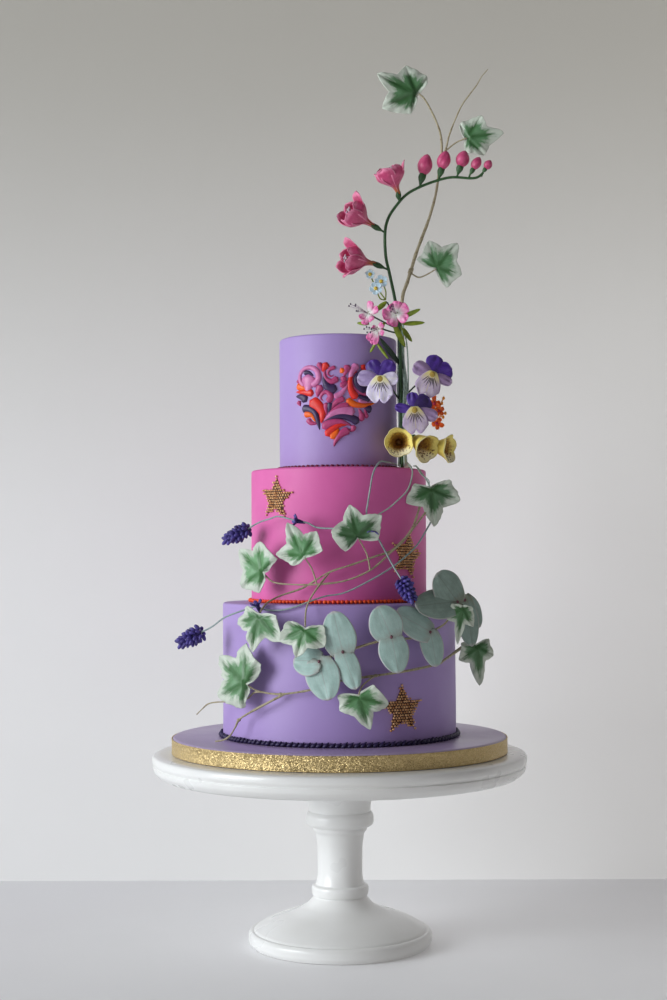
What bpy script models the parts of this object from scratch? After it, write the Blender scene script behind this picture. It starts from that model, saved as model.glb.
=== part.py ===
"""A three-tier wedding cake with sugar flowers, on its board and its white wooden pedestal stand.

Sizes are in millimetres and are scaled to metres when a mesh is made. The origin is at the
centre of the foot's underside, +Z is up, and the decorated front faces -Y.
"""
import math
import random

import bmesh
import bpy
from mathutils import Vector

MM = 0.001
GAP = 0.3                     # clearance between pieces that touch
OBJECT_NAME = "wedding_cake"

# Stand
FOOT_RADIUS = 83.0
SHAFT_RADIUS = 20.5
PLATE_RADIUS = 170.0
PLATE_BOTTOM = 151.0
PLATE_TOP = 173.7

# Board and its ribbon
BOARD_RADIUS = 151.6
BOARD_EDGE = 1.2              # chamfer of the board's icing
RIBBON_RADIUS = 152.6
RIBBON_BELOW_TOP = 1.0
BOARD_BOTTOM = PLATE_TOP + GAP
BOARD_TOP = 189.0

# Tiers: radius, and the height of the surface that each stands on
BOTTOM_RADIUS = 105.9
MIDDLE_RADIUS = 79.9
TOP_RADIUS = 53.7
BOTTOM_TOP = 310.0
MIDDLE_TOP = 429.5
TOP_TOP = 549.0
ICING_ROUND = 2.6             # rounded upper edge of a tier

# Segments round the turned pieces
SHAFT_SEGMENTS = 26
WIDE_SEGMENTS = 40
NARROW_SEGMENTS = 32

# Piped bead borders: number of beads, how far they stand out, and their height
BORDERS = {
    "border_bottom": (BOTTOM_RADIUS, BOARD_TOP, 127, 4.6, 4.6),
    "border_middle": (MIDDLE_RADIUS, BOTTOM_TOP, 50, 3.4, 3.6),
    "border_top": (TOP_RADIUS, MIDDLE_TOP, 34, 3.4, 3.6),
}

LEAF_THICKNESS = 0.9
WIRE_RADIUS = 0.8
STALK_RADIUS = 0.8
STEM_RADIUS = 1.5
TWIG_RADIUS = 1.5
THIN_TWIG_RADIUS = 1.3
BRANCH_RADIUS = 0.9

COLOURS = {
    "white_paint": ((0.78, 0.78, 0.76), 0.35, 0.0),
    "gold_ribbon": ((0.80, 0.60, 0.28), 0.35, 1.0),
    "purple_icing": ((0.36, 0.25, 0.52), 0.6, 0.0),
    "pink_icing": ((0.70, 0.20, 0.42), 0.6, 0.0),
    "lilac_icing": ((0.45, 0.35, 0.62), 0.6, 0.0),
    "navy_icing": ((0.05, 0.03, 0.10), 0.5, 0.0),
    "orange_icing": ((0.75, 0.12, 0.04), 0.5, 0.0),
    "raspberry_icing": ((0.45, 0.05, 0.15), 0.5, 0.0),
    "ivy_sugar": ((0.25, 0.42, 0.12), 0.5, 0.0),
    "stem_tape": ((0.12, 0.22, 0.08), 0.7, 0.0),
    "twig_tape": ((0.12, 0.07, 0.05), 0.8, 0.0),
    "pink_petal": ((0.80, 0.20, 0.45), 0.5, 0.0),
    "blue_petal": ((0.45, 0.60, 0.85), 0.5, 0.0),
    "viola_petal": ((0.40, 0.20, 0.55), 0.5, 0.0),
    "orange_petal": ((0.85, 0.28, 0.03), 0.5, 0.0),
    "yellow_petal": ((0.88, 0.75, 0.20), 0.5, 0.0),
    "lavender_petal": ((0.35, 0.28, 0.60), 0.6, 0.0),
    "eucalyptus_sugar": ((0.62, 0.72, 0.62), 0.6, 0.0),
}


def clear_scene():
    for old in list(bpy.data.objects):
        bpy.data.objects.remove(old, do_unlink=True)


def parts_collection():
    group = bpy.data.collections.get(OBJECT_NAME)
    if group is None:
        group = bpy.data.collections.new(OBJECT_NAME)
        bpy.context.scene.collection.children.link(group)
    return group


def material(name):
    found = bpy.data.materials.get(name)
    if found is not None:
        return found
    colour, roughness, metallic = COLOURS[name]
    made = bpy.data.materials.new(name)
    made.use_nodes = True
    shader = made.node_tree.nodes["Principled BSDF"]
    shader.inputs["Base Color"].default_value = (*colour, 1.0)
    shader.inputs["Roughness"].default_value = roughness
    shader.inputs["Metallic"].default_value = metallic
    return made


def place(name, mesh, colour):
    """Put a finished mesh in the object's collection under its node name."""
    mesh.name = name
    made = bpy.data.objects.new(name, mesh)
    mesh.materials.clear()
    mesh.materials.append(material(colour))
    parts_collection().objects.link(made)
    return made


def mesh_of(made):
    """The evaluated mesh of an object, with that object removed."""
    graph = bpy.context.evaluated_depsgraph_get()
    mesh = bpy.data.meshes.new_from_object(made.evaluated_get(graph))
    mesh.transform(made.matrix_world)
    bpy.data.objects.remove(made, do_unlink=True)
    return mesh


def loose(mesh):
    made = bpy.data.objects.new("piece", mesh)
    bpy.context.scene.collection.objects.link(made)
    return made


def turned(profile, segments, is_ring=False):
    """A closed turned solid. The profile runs down the outer side from the top centre.

    The profile of a ring is a closed section that stays off the axis.
    """
    mesh = bpy.data.meshes.new("profile")
    points = [(r * MM, 0.0, z * MM) for r, z in profile]
    count = len(points)
    edges = [(i, (i + 1) % count) for i in range(count if is_ring else count - 1)]
    mesh.from_pydata(points, edges, [])
    made = loose(mesh)
    screw = made.modifiers.new("turn", "SCREW")
    screw.steps = segments
    screw.render_steps = segments
    screw.use_merge_vertices = True
    screw.merge_threshold = 0.00005
    screw.use_smooth_shade = True
    return mesh_of(made)


def loft(rings):
    """A closed body through rings of points. A ring of one point closes an end."""
    body = bmesh.new()
    rows = [[body.verts.new(Vector(p) * MM) for p in row] for row in rings]
    for low, high in zip(rows, rows[1:]):
        count = max(len(low), len(high))
        for i in range(count):
            j = (i + 1) % count
            if len(low) == 1:
                body.faces.new((low[0], high[i], high[j]))
            elif len(high) == 1:
                body.faces.new((low[i], low[j], high[0]))
            else:
                body.faces.new((low[i], low[j], high[j]))
                body.faces.new((low[i], high[j], high[i]))
    bmesh.ops.recalc_face_normals(body, faces=body.faces)
    mesh = bpy.data.meshes.new("loft")
    body.to_mesh(mesh)
    body.free()
    return mesh


def hull(points):
    """The closed convex body round a few points."""
    body = bmesh.new()
    for point in points:
        body.verts.new(Vector(point) * MM)
    bmesh.ops.convex_hull(body, input=body.verts)
    bmesh.ops.recalc_face_normals(body, faces=body.faces)
    mesh = bpy.data.meshes.new("hull")
    body.to_mesh(mesh)
    body.free()
    return mesh


def tube(points, radius, sides_level=0):
    """A wire or stem through points in millimetres, as a closed mesh."""
    curve = bpy.data.curves.new("wire", "CURVE")
    curve.dimensions = "3D"
    curve.bevel_depth = radius * MM
    curve.bevel_resolution = sides_level
    curve.use_fill_caps = True
    spline = curve.splines.new("POLY")
    spline.points.add(len(points) - 1)
    for target, point in zip(spline.points, points):
        target.co = (*(Vector(point) * MM), 1.0)
    mesh = mesh_of(loose(curve))
    body = bmesh.new()
    body.from_mesh(mesh)
    bmesh.ops.remove_doubles(body, verts=body.verts, dist=0.00001)
    bmesh.ops.recalc_face_normals(body, faces=body.faces)
    body.to_mesh(mesh)
    body.free()
    return mesh


def fused(meshes):
    """One closed body from several that overlap."""
    base = loose(meshes[0])
    others = bpy.data.collections.new("fused_pieces")
    bpy.context.scene.collection.children.link(others)
    for mesh in meshes[1:]:
        others.objects.link(bpy.data.objects.new("piece", mesh))
    join = base.modifiers.new("join", "BOOLEAN")
    join.operation = "UNION"
    join.operand_type = "COLLECTION"
    join.collection = others
    join.solver = "EXACT"
    mesh = mesh_of(base)
    for piece in list(others.objects):
        bpy.data.objects.remove(piece, do_unlink=True)
    bpy.data.collections.remove(others)
    return mesh


def axes_from(forward, hint):
    """Right-handed unit axes: sideways, upright (near the hint), and forward."""
    ahead = Vector(forward).normalized()
    upright = Vector(hint) - ahead * Vector(hint).dot(ahead)
    upright.normalize()
    return upright.cross(ahead), upright, ahead


def thin_body(centre, face, tip, outline, thickness=LEAF_THICKNESS, wave=0.0, cup=0.0, phase=0.0):
    """A thin wavy leaf or flat flower.

    The outline is polar, in degrees from the tip's direction and in millimetres. Front and back
    are split into triangles alike, round the centre.
    """
    along = Vector(tip).normalized()
    out = (Vector(face) - along * Vector(face).dot(along)).normalized()
    across = along.cross(out)
    half = out * (thickness / 2)
    reach = max(radius for _, radius in outline)
    front, back = [], []
    for angle, radius in outline:
        turn = math.radians(angle)
        share = radius / reach
        lift = wave * math.sin(3 * turn + phase) * share + cup * share * share
        spot = Vector(centre) + across * (radius * math.sin(turn)) + along * (radius * math.cos(turn))
        spot = spot + out * lift
        front.append(spot + half)
        back.append(spot - half)
    middle = Vector(centre)
    return loft([[middle + half], front, back, [middle - half]])


def bloom(tail, mouth_point, profile, petals, per_petal=2):
    """A trumpet, bell or bud: a loft along its axis.

    The profile lists (distance along the axis, radius, depth of the notches between petals).
    Its first and last rows have no radius, so they close the body.
    """
    start = Vector(tail)
    axis = Vector(mouth_point) - start
    across, upright, ahead = axes_from(axis, (0, 0, 1) if abs(axis.normalized().z) < 0.9 else (0, 1, 0))
    count = petals * per_petal
    rings = []
    for distance, radius, notch in profile:
        if radius == 0:
            rings.append([start + ahead * distance])
            continue
        row = []
        for i in range(count):
            turn = 2 * math.pi * i / count
            reach = radius * (1 - notch if i % per_petal == 0 else 1.0)
            side = across * math.cos(turn) + upright * math.sin(turn)
            row.append(start + ahead * distance + side * reach)
        rings.append(row)
    return loft(rings)


def ball(centre, radius, squash=1.0):
    """A small bead or bud, six-sided."""
    level = radius * 0.62
    rings = [[Vector(centre) + Vector((0, 0, radius * squash))]]
    for height, wide in ((level * squash, radius * 0.8), (-level * squash, radius * 0.8)):
        rings.append([Vector(centre) + Vector((wide * math.cos(t), wide * math.sin(t), height))
                      for t in (2 * math.pi * i / 6 for i in range(6))])
    rings.append([Vector(centre) - Vector((0, 0, radius * squash))])
    return loft(rings)


def on_wall(radius, sideways, height):
    """A point on a round wall: the distance round the wall from the front, and the height."""
    turn = sideways / radius
    return Vector((radius * math.sin(turn), -radius * math.cos(turn), height))


def wall_point(wall, lift, sideways, height):
    """A point a little off a round wall, at a distance round it measured on the wall."""
    flat = on_wall(wall, sideways, height)
    return Vector((flat.x, flat.y, 0)) * ((wall + lift) / wall) + Vector((0, 0, height))


def make_stand():
    shaft = [
        (0, PLATE_BOTTOM - GAP), (46, PLATE_BOTTOM - GAP), (46, 146), (28, 127), (28, 119),
        (30.6, 116), (30.6, 109), (24.6, 105.5), (24.5, 103), (22.2, 100),
        (SHAFT_RADIUS, 92), (SHAFT_RADIUS - 0.5, 62), (21.9, 54), (25.2, 52.4), (26, 48.5), (24.9, 43),
        (30.5, 35), (42, 30), (57, 25), (69, 20), (77, 14.5), (82, 12),
        (FOOT_RADIUS, 8), (82.4, 2.5), (80.2, 0), (0, 0),
    ]
    place("stand_pedestal", turned(shaft, SHAFT_SEGMENTS), "white_paint")
    plate = [
        (0, PLATE_TOP), (164, PLATE_TOP), (168.6, 172.6), (PLATE_RADIUS, 170), (PLATE_RADIUS, 166.5),
        (168.3, 163.4), (169, 160.6), (166, 156), (160, 152.2), (154, PLATE_BOTTOM), (0, PLATE_BOTTOM),
    ]
    place("stand_plate", turned(plate, WIDE_SEGMENTS), "white_paint")


def make_board():
    top = BOARD_TOP - GAP
    board = [
        (0, top), (BOARD_RADIUS - BOARD_EDGE, top), (BOARD_RADIUS, top - BOARD_EDGE),
        (BOARD_RADIUS, BOARD_BOTTOM), (0, BOARD_BOTTOM),
    ]
    place("cake_board", turned(board, WIDE_SEGMENTS), "lilac_icing")
    inner, ribbon_top = BOARD_RADIUS + GAP, BOARD_TOP - RIBBON_BELOW_TOP
    band = [
        (RIBBON_RADIUS, ribbon_top), (RIBBON_RADIUS, BOARD_BOTTOM), (inner, BOARD_BOTTOM), (inner, ribbon_top),
    ]
    place("board_ribbon", turned(band, WIDE_SEGMENTS, is_ring=True), "gold_ribbon")


def tier_mesh(radius, low, high, segments):
    soft = 0.3 * ICING_ROUND
    profile = [
        (0, high), (radius - ICING_ROUND, high), (radius - soft, high - soft), (radius, high - ICING_ROUND),
        (radius, low), (0, low),
    ]
    return turned(profile, segments)


STAR_WAIST = 0.48             # reach of the notches between a star's arms, as a share of its tips' reach


def star_relief(wall, centre_side, centre_height, reach, tilt):
    """A five-pointed star piped on a tier: five ridged arms with a bead on each tip and notch."""
    sunk = -1.6
    ridge, ridge_end, bead = 1.7, 1.3, 1.9
    bead_foot = ((1.9, 0), (0, 1.9), (-1.9, 0), (0, -1.9))
    pieces = []
    for arm in range(5):
        corners = []
        for offset, length in ((0, reach), (36, reach * STAR_WAIST), (-36, reach * STAR_WAIST)):
            turn = math.radians(tilt + 72 * arm + offset)
            corners.append((centre_side + length * math.sin(turn), centre_height + length * math.cos(turn)))
        low = [wall_point(wall, sunk, side, height) for side, height in corners]
        low.append(wall_point(wall, sunk, centre_side, centre_height))
        near_tip = Vector((centre_side, centre_height)).lerp(Vector(corners[0]), 0.8)
        top = [wall_point(wall, ridge, centre_side, centre_height)]
        top.append(wall_point(wall, ridge_end, near_tip.x, near_tip.y))
        pieces.append(hull(low + top))
        for side, height in corners[:2]:
            foot = [wall_point(wall, sunk, side + du, height + dv) for du, dv in bead_foot]
            pieces.append(hull(foot + [wall_point(wall, bead, side, height)]))
    return pieces


# Stars: distance round the tier from the front, height, reach of the tips, and tilt in degrees
BOTTOM_STARS = [(56.5, 219.5, 21.5, -2)]
MIDDLE_STARS = [(-60.5, 402.5, 19.5, 4), (68, 351.5, 21.5, 13)]


def icing_drop(wall, fat, tip, width, lift=1.8):
    """One piped drop on a tier: a round fat end that runs out to a point."""
    run = Vector((tip[0] - fat[0], tip[1] - fat[1]))
    length = max(run.length, 0.1)
    along = run / length
    side = Vector((-along.y, along.x))
    half = width / 2
    foot = []
    for a, s in ((-0.8, 0.55), (-0.8, -0.55), (0.2, 1.0), (0.2, -1.0)):
        spot = Vector(fat) + along * (a * half) + side * (s * half)
        foot.append(wall_point(wall, -1.0, spot.x, spot.y))
    foot.append(wall_point(wall, -1.0, tip[0], tip[1]))
    crest = Vector(fat) + along * (0.35 * length)
    top = [wall_point(wall, lift, fat[0], fat[1]), wall_point(wall, lift * 0.7, crest.x, crest.y)]
    return hull(foot + top)


# Drops of the piped heart on the top tier: fat end, point, width. Distances are round the wall
# from the front, and up from the heart's lowest point.
HEART_LOW = 448.0
HEART_DROPS = [
    ((-21, 62), (-9, 66), 8), ((-33, 55), (-32, 43), 7), ((-14, 70), (-6, 61), 6), ((9, 68), (14, 60), 7),
    ((19, 66), (13, 55), 6), ((-31, 37), (-19, 35), 7), ((-24, 30), (-34, 33), 6), ((-28, 22), (-17, 26), 7),
    ((-22, 16), (-12, 20), 6), ((-9, 52), (0, 44), 8), ((2, 54), (-6, 60), 7), ((11, 46), (22, 52), 9),
    ((26, 58), (24, 47), 8), ((33, 52), (33, 40), 7), ((16, 36), (30, 34), 8), ((32, 32), (22, 27), 7),
    ((0, 34), (-10, 38), 8), ((-4, 25), (8, 30), 8), ((13, 22), (-1, 18), 7), ((18, 18), (24, 24), 6),
    ((-13, 10), (-3, 13), 6), ((3, 9), (13, 13), 7), ((-1, 1), (4, 8), 6),
]


def make_tiers():
    bottom = tier_mesh(BOTTOM_RADIUS, BOARD_TOP, BOTTOM_TOP - GAP, WIDE_SEGMENTS)
    stars = [piece for sizes in BOTTOM_STARS for piece in star_relief(BOTTOM_RADIUS, *sizes)]
    place("tier_bottom", fused([bottom] + stars), "purple_icing")
    middle = tier_mesh(MIDDLE_RADIUS, BOTTOM_TOP, MIDDLE_TOP - GAP, WIDE_SEGMENTS)
    stars = [piece for sizes in MIDDLE_STARS for piece in star_relief(MIDDLE_RADIUS, *sizes)]
    place("tier_middle", fused([middle] + stars), "pink_icing")
    top = tier_mesh(TOP_RADIUS, MIDDLE_TOP, TOP_TOP, NARROW_SEGMENTS)
    drops = [icing_drop(TOP_RADIUS, (fat[0], fat[1] + HEART_LOW), (tip[0], tip[1] + HEART_LOW), width)
             for fat, tip, width in HEART_DROPS]
    place("tier_top", fused([top] + drops), "lilac_icing")


def make_border(name, radius, level, beads, depth, height):
    """A ring of piped beads in the corner where a tier meets what it stands on."""
    inner = radius + GAP
    floor = level + 0.05
    rings = []
    for i in range(2 * beads):
        swell = 1.0 if i % 2 == 0 else 0.62
        turn = 2 * math.pi * i / (2 * beads)
        outer = inner + depth * swell
        section = ((inner, floor), (outer, floor + 0.3 * height), (inner, floor + height * swell))
        rings.append([Vector((r * math.cos(turn), r * math.sin(turn), z)) for r, z in section])
    body = bmesh.new()
    rows = [[body.verts.new(p * MM) for p in row] for row in rings]
    for here, after in zip(rows, rows[1:] + rows[:1]):
        for k in range(3):
            m = (k + 1) % 3
            body.faces.new((here[k], after[k], after[m], here[m]))
    bmesh.ops.recalc_face_normals(body, faces=body.faces)
    mesh = bpy.data.meshes.new(name)
    body.to_mesh(mesh)
    body.free()
    return mesh


def make_borders():
    colours = {
        "border_bottom": "navy_icing", "border_middle": "orange_icing", "border_top": "raspberry_icing",
    }
    for name, sizes in BORDERS.items():
        place(name, make_border(name, *sizes), colours[name])


# Half of an ivy leaf's outline: angle from the tip in degrees, and reach as a share of its length.
IVY_HALF = [
    (0, 1.0), (14, 0.72), (31, 0.46), (47, 0.66), (58, 0.84), (70, 0.62), (86, 0.40), (106, 0.52), (140, 0.26),
]
IVY_NOTCH = (180, 0.05)

# Ivy leaves: base, tip and the way that the face looks, in order from the top of the cake.
IVY_LEAVES = [
    ((73, -11, 775), (37, -15, 793), (-0.1, -1, 0.1)),
    ((119, -11, 734), (153, -12, 739), (0.1, -1, 0.2)),
    ((90, -12, 614), (110, -16, 636), (0.2, -1, 0.1)),
    ((82, -52, 411), (85, -54, 377), (0.3, -1, 0.1)),
    ((-30, -99, 351), (-44, -95, 380), (-0.35, -1, 0.1)),
    ((-67, -80, 338), (-91, -58, 358), (-0.8, -1, 0.1)),
    ((16, -102, 367), (10, -103, 395), (0.1, -1, 0.0)),
    ((-68, -107, 301), (-75, -101, 269), (-0.6, -1, 0.2)),
    ((-29, -124, 290), (-36, -127, 267), (-0.3, -1, 0.0)),
    ((-81, -95, 243), (-108, -68, 265), (-0.8, -1, 0.1)),
    ((16, -126, 234), (26, -126, 206), (0.1, -1, -0.1)),
    ((110, -50, 303), (104, -52, 272), (1.0, -0.35, 0.0)),
    ((123, -40, 271), (126, -38, 235), (0.4, -1, 0.0)),
]
LEAF_SPREAD = (0.93, 1.05)    # least and most that a lobe's reach wanders, so that no two leaves are alike


def make_ivy():
    draw = random.Random(7)
    for number, (base, tip, face) in enumerate(IVY_LEAVES, 1):
        run = Vector(tip) - Vector(base)
        right = [(angle, reach * run.length * draw.uniform(*LEAF_SPREAD)) for angle, reach in IVY_HALF]
        left = [(-angle, reach * run.length * draw.uniform(*LEAF_SPREAD)) for angle, reach in IVY_HALF[:0:-1]]
        outline = right + [(IVY_NOTCH[0], IVY_NOTCH[1] * run.length)] + left
        centre = Vector(base) + run * 0.08
        mesh = thin_body(centre, face, run, outline, wave=1.0, cup=-2.0, phase=draw.uniform(0, 6))
        place(f"ivy_leaf_{number}", mesh, "ivy_sugar")


VINE = [
    (60, -8, 430.2), (60, -8, 493), (59, -8, 548), (59, -8, 585), (64, -8, 602), (68, -8, 615), (72, -8, 628),
    (78, -8, 644), (84, -8, 660), (90, -8, 681), (93, -8, 700), (96, -8, 722), (95, -8, 738), (91, -8, 750),
    (86, -8, 761), (80, -9, 771), (75.5, -9, 775),
]
TENDRIL = [(96, -8, 716), (100, -8, 725), (103, -8, 737), (108, -8, 750), (115, -8, 765), (123, -8, 776),
           (129, -8, 784), (133, -8, 791), (139, -8, 798)]
VINE_SIDE_STEMS = [
    [(99, -8, 722), (109, -8, 730), (116.5, -9, 733.2)],
    [(67, -8, 610), (74, -8, 606), (81, -9, 608), (87.4, -10, 611.3)],
]


def make_vine():
    pieces = [tube(VINE, 1.4, 1), tube(TENDRIL, 1.0, 0)]
    pieces += [tube(route, 1.0, 0) for route in VINE_SIDE_STEMS]
    place("ivy_vine", fused(pieces), "stem_tape")


FREESIA_STEM = [
    (63, -31, 430.2), (63, -31, 480), (63, -30, 545), (57, -31, 562), (52, -31, 580), (47, -30, 605),
    (43.5, -30, 622), (43, -30, 643), (46, -30, 656), (53, -30, 667), (62, -30, 677), (74, -30, 684),
    (90, -30, 690), (104, -30, 693), (120, -30, 692), (127, -30, 693), (130.6, -30, 695.4),
]
FREESIA_FLOWERS = [   # where the stalk leaves the stem, the flower's tail, and the middle of its mouth
    ((53, -30, 667), (52, -33, 677), (43, -38, 699)),
    ((43, -30, 643), (33, -34, 648), (10, -40, 660)),
    ((46, -30, 609), (34, -34, 614), (7, -40, 617)),
]
FREESIA_BUDS = [      # base, tip and radius
    ((75, -30, 686.4), (82, -31, 714), 6.7),
    ((92, -30, 692.4), (99, -31, 717), 6.2),
    ((109, -30, 695.6), (116, -31, 717), 6.2),
    ((120, -30, 695.2), (129, -31, 711), 4.5),
    ((131.5, -30, 697), (139, -31, 708), 3.9),
]


def make_freesia():
    stalks = [tube([joint, Vector(joint).lerp(Vector(tail), 0.97)], 1.2) for joint, tail, _ in FREESIA_FLOWERS]
    place("freesia_stem", fused([tube(FREESIA_STEM, 1.5, 1)] + stalks), "stem_tape")
    for number, (_, tail, mouth) in enumerate(FREESIA_FLOWERS, 1):
        length = (Vector(mouth) - Vector(tail)).length
        profile = [(0.8, 0, 0), (2.5, 2.2, 0), (0.5 * length, 5.5, 0), (length, 15.5, 0.3),
                   (length - 7, 6.5, 0), (0.45 * length, 0, 0)]
        place(f"freesia_flower_{number}", bloom(tail, mouth, profile, 6), "pink_petal")
    for number, (base, tip, radius) in enumerate(FREESIA_BUDS, 1):
        length = (Vector(tip) - Vector(base)).length
        profile = [(0, 0, 0), (0.18 * length, 0.72 * radius, 0), (0.5 * length, radius, 0),
                   (0.82 * length, 0.7 * radius, 0), (length, 0, 0)]
        place(f"freesia_bud_{number}", bloom(base, tip, profile, 3), "pink_petal")


def flat_outline(petals, radius, notch, per_petal=2):
    """A round flower's outline: full reach on each petal, less at the notches."""
    count = petals * per_petal
    return [(360 * i / count, radius * (notch if i % per_petal == 0 else 1.0)) for i in range(count)]


FORGET_ME_NOTS = ((29, -42, 603), (39, -40, 597), (34, -44, 590))
PINK_FLOWERS = [      # middle of the mouth, the way it faces, radius
    ((26, -46, 568), (-0.5, -1, 0.1), 12.0),
    ((52, -50, 567), (0.05, -1, 0.05), 13.5),
    ((34, -58, 551), (-0.4, -1, -0.35), 12.5),
]


def make_small_flowers():
    blue = []
    for centre in FORGET_ME_NOTS:
        blue.append(thin_body(centre, (0, -1, 0), (0, 0.2, 1), flat_outline(5, 6.2, 0.7), 1.6))
        blue.append(tube([centre, (centre[0] + 4, -38, centre[2] - 8), (43, -36, 581)], 0.7))
    place("forget_me_nots", fused(blue), "blue_petal")
    for number, (centre, face, radius) in enumerate(PINK_FLOWERS, 1):
        mouth = Vector(centre)
        tail = mouth - Vector(face).normalized() * 9
        profile = [
            (0, 0, 0), (1.5, 2.5, 0), (7, radius * 0.85, 0.1), (10, radius, 0.22), (6.5, radius * 0.45, 0),
            (5, 0, 0),
        ]
        place(f"pink_flower_{number}", bloom(tail, mouth, profile, 6), "pink_petal")


# A viola's outline: angle clockwise from straight up, and reach.
VIOLA_OUTLINE = [
    (0, 12), (14, 18), (30, 20), (50, 15), (66, 14), (84, 16), (104, 13), (124, 10), (146, 16), (166, 21),
    (180, 20), (194, 21), (214, 16), (236, 10), (256, 14), (276, 19), (294, 16), (308, 13), (328, 19), (346, 18),
]
VIOLAS = [            # eye, the way the face looks, the way its top points
    ((37, -60, 507), (-0.1, -1, 0.1), (0.0, 0, 1)),
    ((83, -58, 511), (0.1, -1, 0.1), (0.35, 0, 1)),
    ((67, -65, 479), (0.0, -1, 0.05), (0.15, 0, 1)),
]


def make_violas():
    for number, (eye, face, top) in enumerate(VIOLAS, 1):
        mesh = thin_body(eye, face, top, VIOLA_OUTLINE, 1.6, wave=0.8, cup=-1.5, phase=number)
        place(f"viola_{number}", mesh, "viola_petal")


CLUSTER_JOINT = (86, -41, 477)
ORANGE_FLORETS = ((88, -45, 488), (91, -47, 478), (88, -46, 469))
ORANGE_BUDS = ((95, -41, 494), (95, -41, 475))


def make_orange_cluster():
    pieces = []
    for centre in ORANGE_FLORETS:
        pieces.append(thin_body(centre, (0.2, -1, 0.1), (0, 0, 1), flat_outline(5, 6.5, 0.72), 1.8))
        pieces.append(tube([centre, CLUSTER_JOINT], STALK_RADIUS))
    for centre in ORANGE_BUDS:
        pieces.append(ball(centre, 2.6, 1.2))
        pieces.append(tube([centre, CLUSTER_JOINT], STALK_RADIUS))
    place("orange_cluster", fused(pieces), "orange_petal")


FOXGLOVES = [         # tail, middle of the mouth, length and mouth radius
    ((54, -36, 453), (53, -56, 451), 20, 12.8),
    ((68, -40, 456), (80, -56, 445), 20.5, 12.2),
    ((86, -37, 449), (98, -42, 447), 17, 11.6),
]


def make_foxgloves():
    for number, (tail, mouth, length, radius) in enumerate(FOXGLOVES, 1):
        profile = [(0, 0, 0), (1, 2.5, 0), (0.3 * length, 0.52 * radius, 0), (0.75 * length, 0.75 * radius, 0),
                   (length, radius, 0.1), (0.8 * length, 0.7 * radius, 0), (0.35 * length, 0, 0)]
        place(f"foxglove_{number}", bloom(tail, mouth, profile, 5), "yellow_petal")


BUNDLE_STEMS = [
    [(57, -22, 431), (57, -21, 480), (57, -20, 540), (58, -21, 578)],
    [(59, -24, 431), (58, -23, 480), (58, -21, 530), (61, -24, 562)],
    [(62, -20, 431), (61, -20, 480), (59, -19, 540), (55, -22, 574)],
]
FLOWER_STALKS = [
    [(57, -21, 490), (46, -40, 503), (38, -57, 506.5)],
    [(60, -20, 495), (72, -36, 506), (82, -55, 510)],
    [(57, -22, 462), (59, -45, 473), (66.5, -61, 478.5)],
    [(60, -20, 461), (74, -29, 470), (85, -39.5, 476)],
    [(56, -22, 452), (54.5, -34.5, 453)],
    [(61, -20, 448), (69, -29, 452), (67.6, -38.4, 455.6)],
    [(61, -20, 455), (74, -25, 452), (84.8, -35.4, 449.4)],
    [(56, -21, 556), (41, -30, 562), (31, -36, 566.5)],
    [(57.4, -20.6, 560), (48, -30, 563), (52, -39.5, 566.5)],
    [(57.4, -20.3, 552), (44, -32, 554), (36.5, -47, 555)],
    [(57, -21, 568), (48, -30, 574), (44.5, -34.5, 579)],
]
# The foot of white icing that holds the upright stems: radius and height of its rings
ICING_FOOT = [(6.0, MIDDLE_TOP + GAP), (5.4, 432.6), (3.4, 435.5)]
ICING_FOOT_PLACE = (60, -22)
ICING_FOOT_TOP = 437
BLADES = [            # pointed green blades: base, tip and width
    ((57.8, -20.8, 570), (73, -27, 575), 5),
    ((60.5, -23.5, 559), (75, -28, 562), 5),
    ((59.6, -23, 552), (73, -22, 543), 5),
    ((59.2, -22.2, 545), (56, -42, 526), 5),
]


def blade(base, tip, width):
    """A pointed green leaf as a thin bent lozenge."""
    start, end = Vector(base), Vector(tip)
    run = end - start
    across = run.cross(Vector((0, -1, 0.2))).normalized()
    middle = start + run * 0.5
    out = Vector((0, -1, 0.2)).normalized()
    root, wide = across * 0.8, across * (width / 2)
    return hull([start + root, start - root, middle + wide, middle - wide, middle + out, middle - out * 0.6, end])


def make_bundle():
    """The upright stems beside the top tier, the icing that holds them, and the stalks they carry."""
    count = 10
    x, y = ICING_FOOT_PLACE
    rings = [[(x, y, MIDDLE_TOP + GAP)]]
    for radius, height in ICING_FOOT:
        rings.append([(x + radius * math.cos(t), y + radius * math.sin(t), height)
                      for t in (2 * math.pi * i / count for i in range(count))])
    pieces = [loft(rings + [[(x, y, ICING_FOOT_TOP)]])] + [tube(route, STEM_RADIUS) for route in BUNDLE_STEMS]
    pieces += [tube(route, STALK_RADIUS) for route in FLOWER_STALKS]
    pieces += [blade(*sizes) for sizes in BLADES]
    place("stem_bundle", fused(pieces), "stem_tape")


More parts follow.
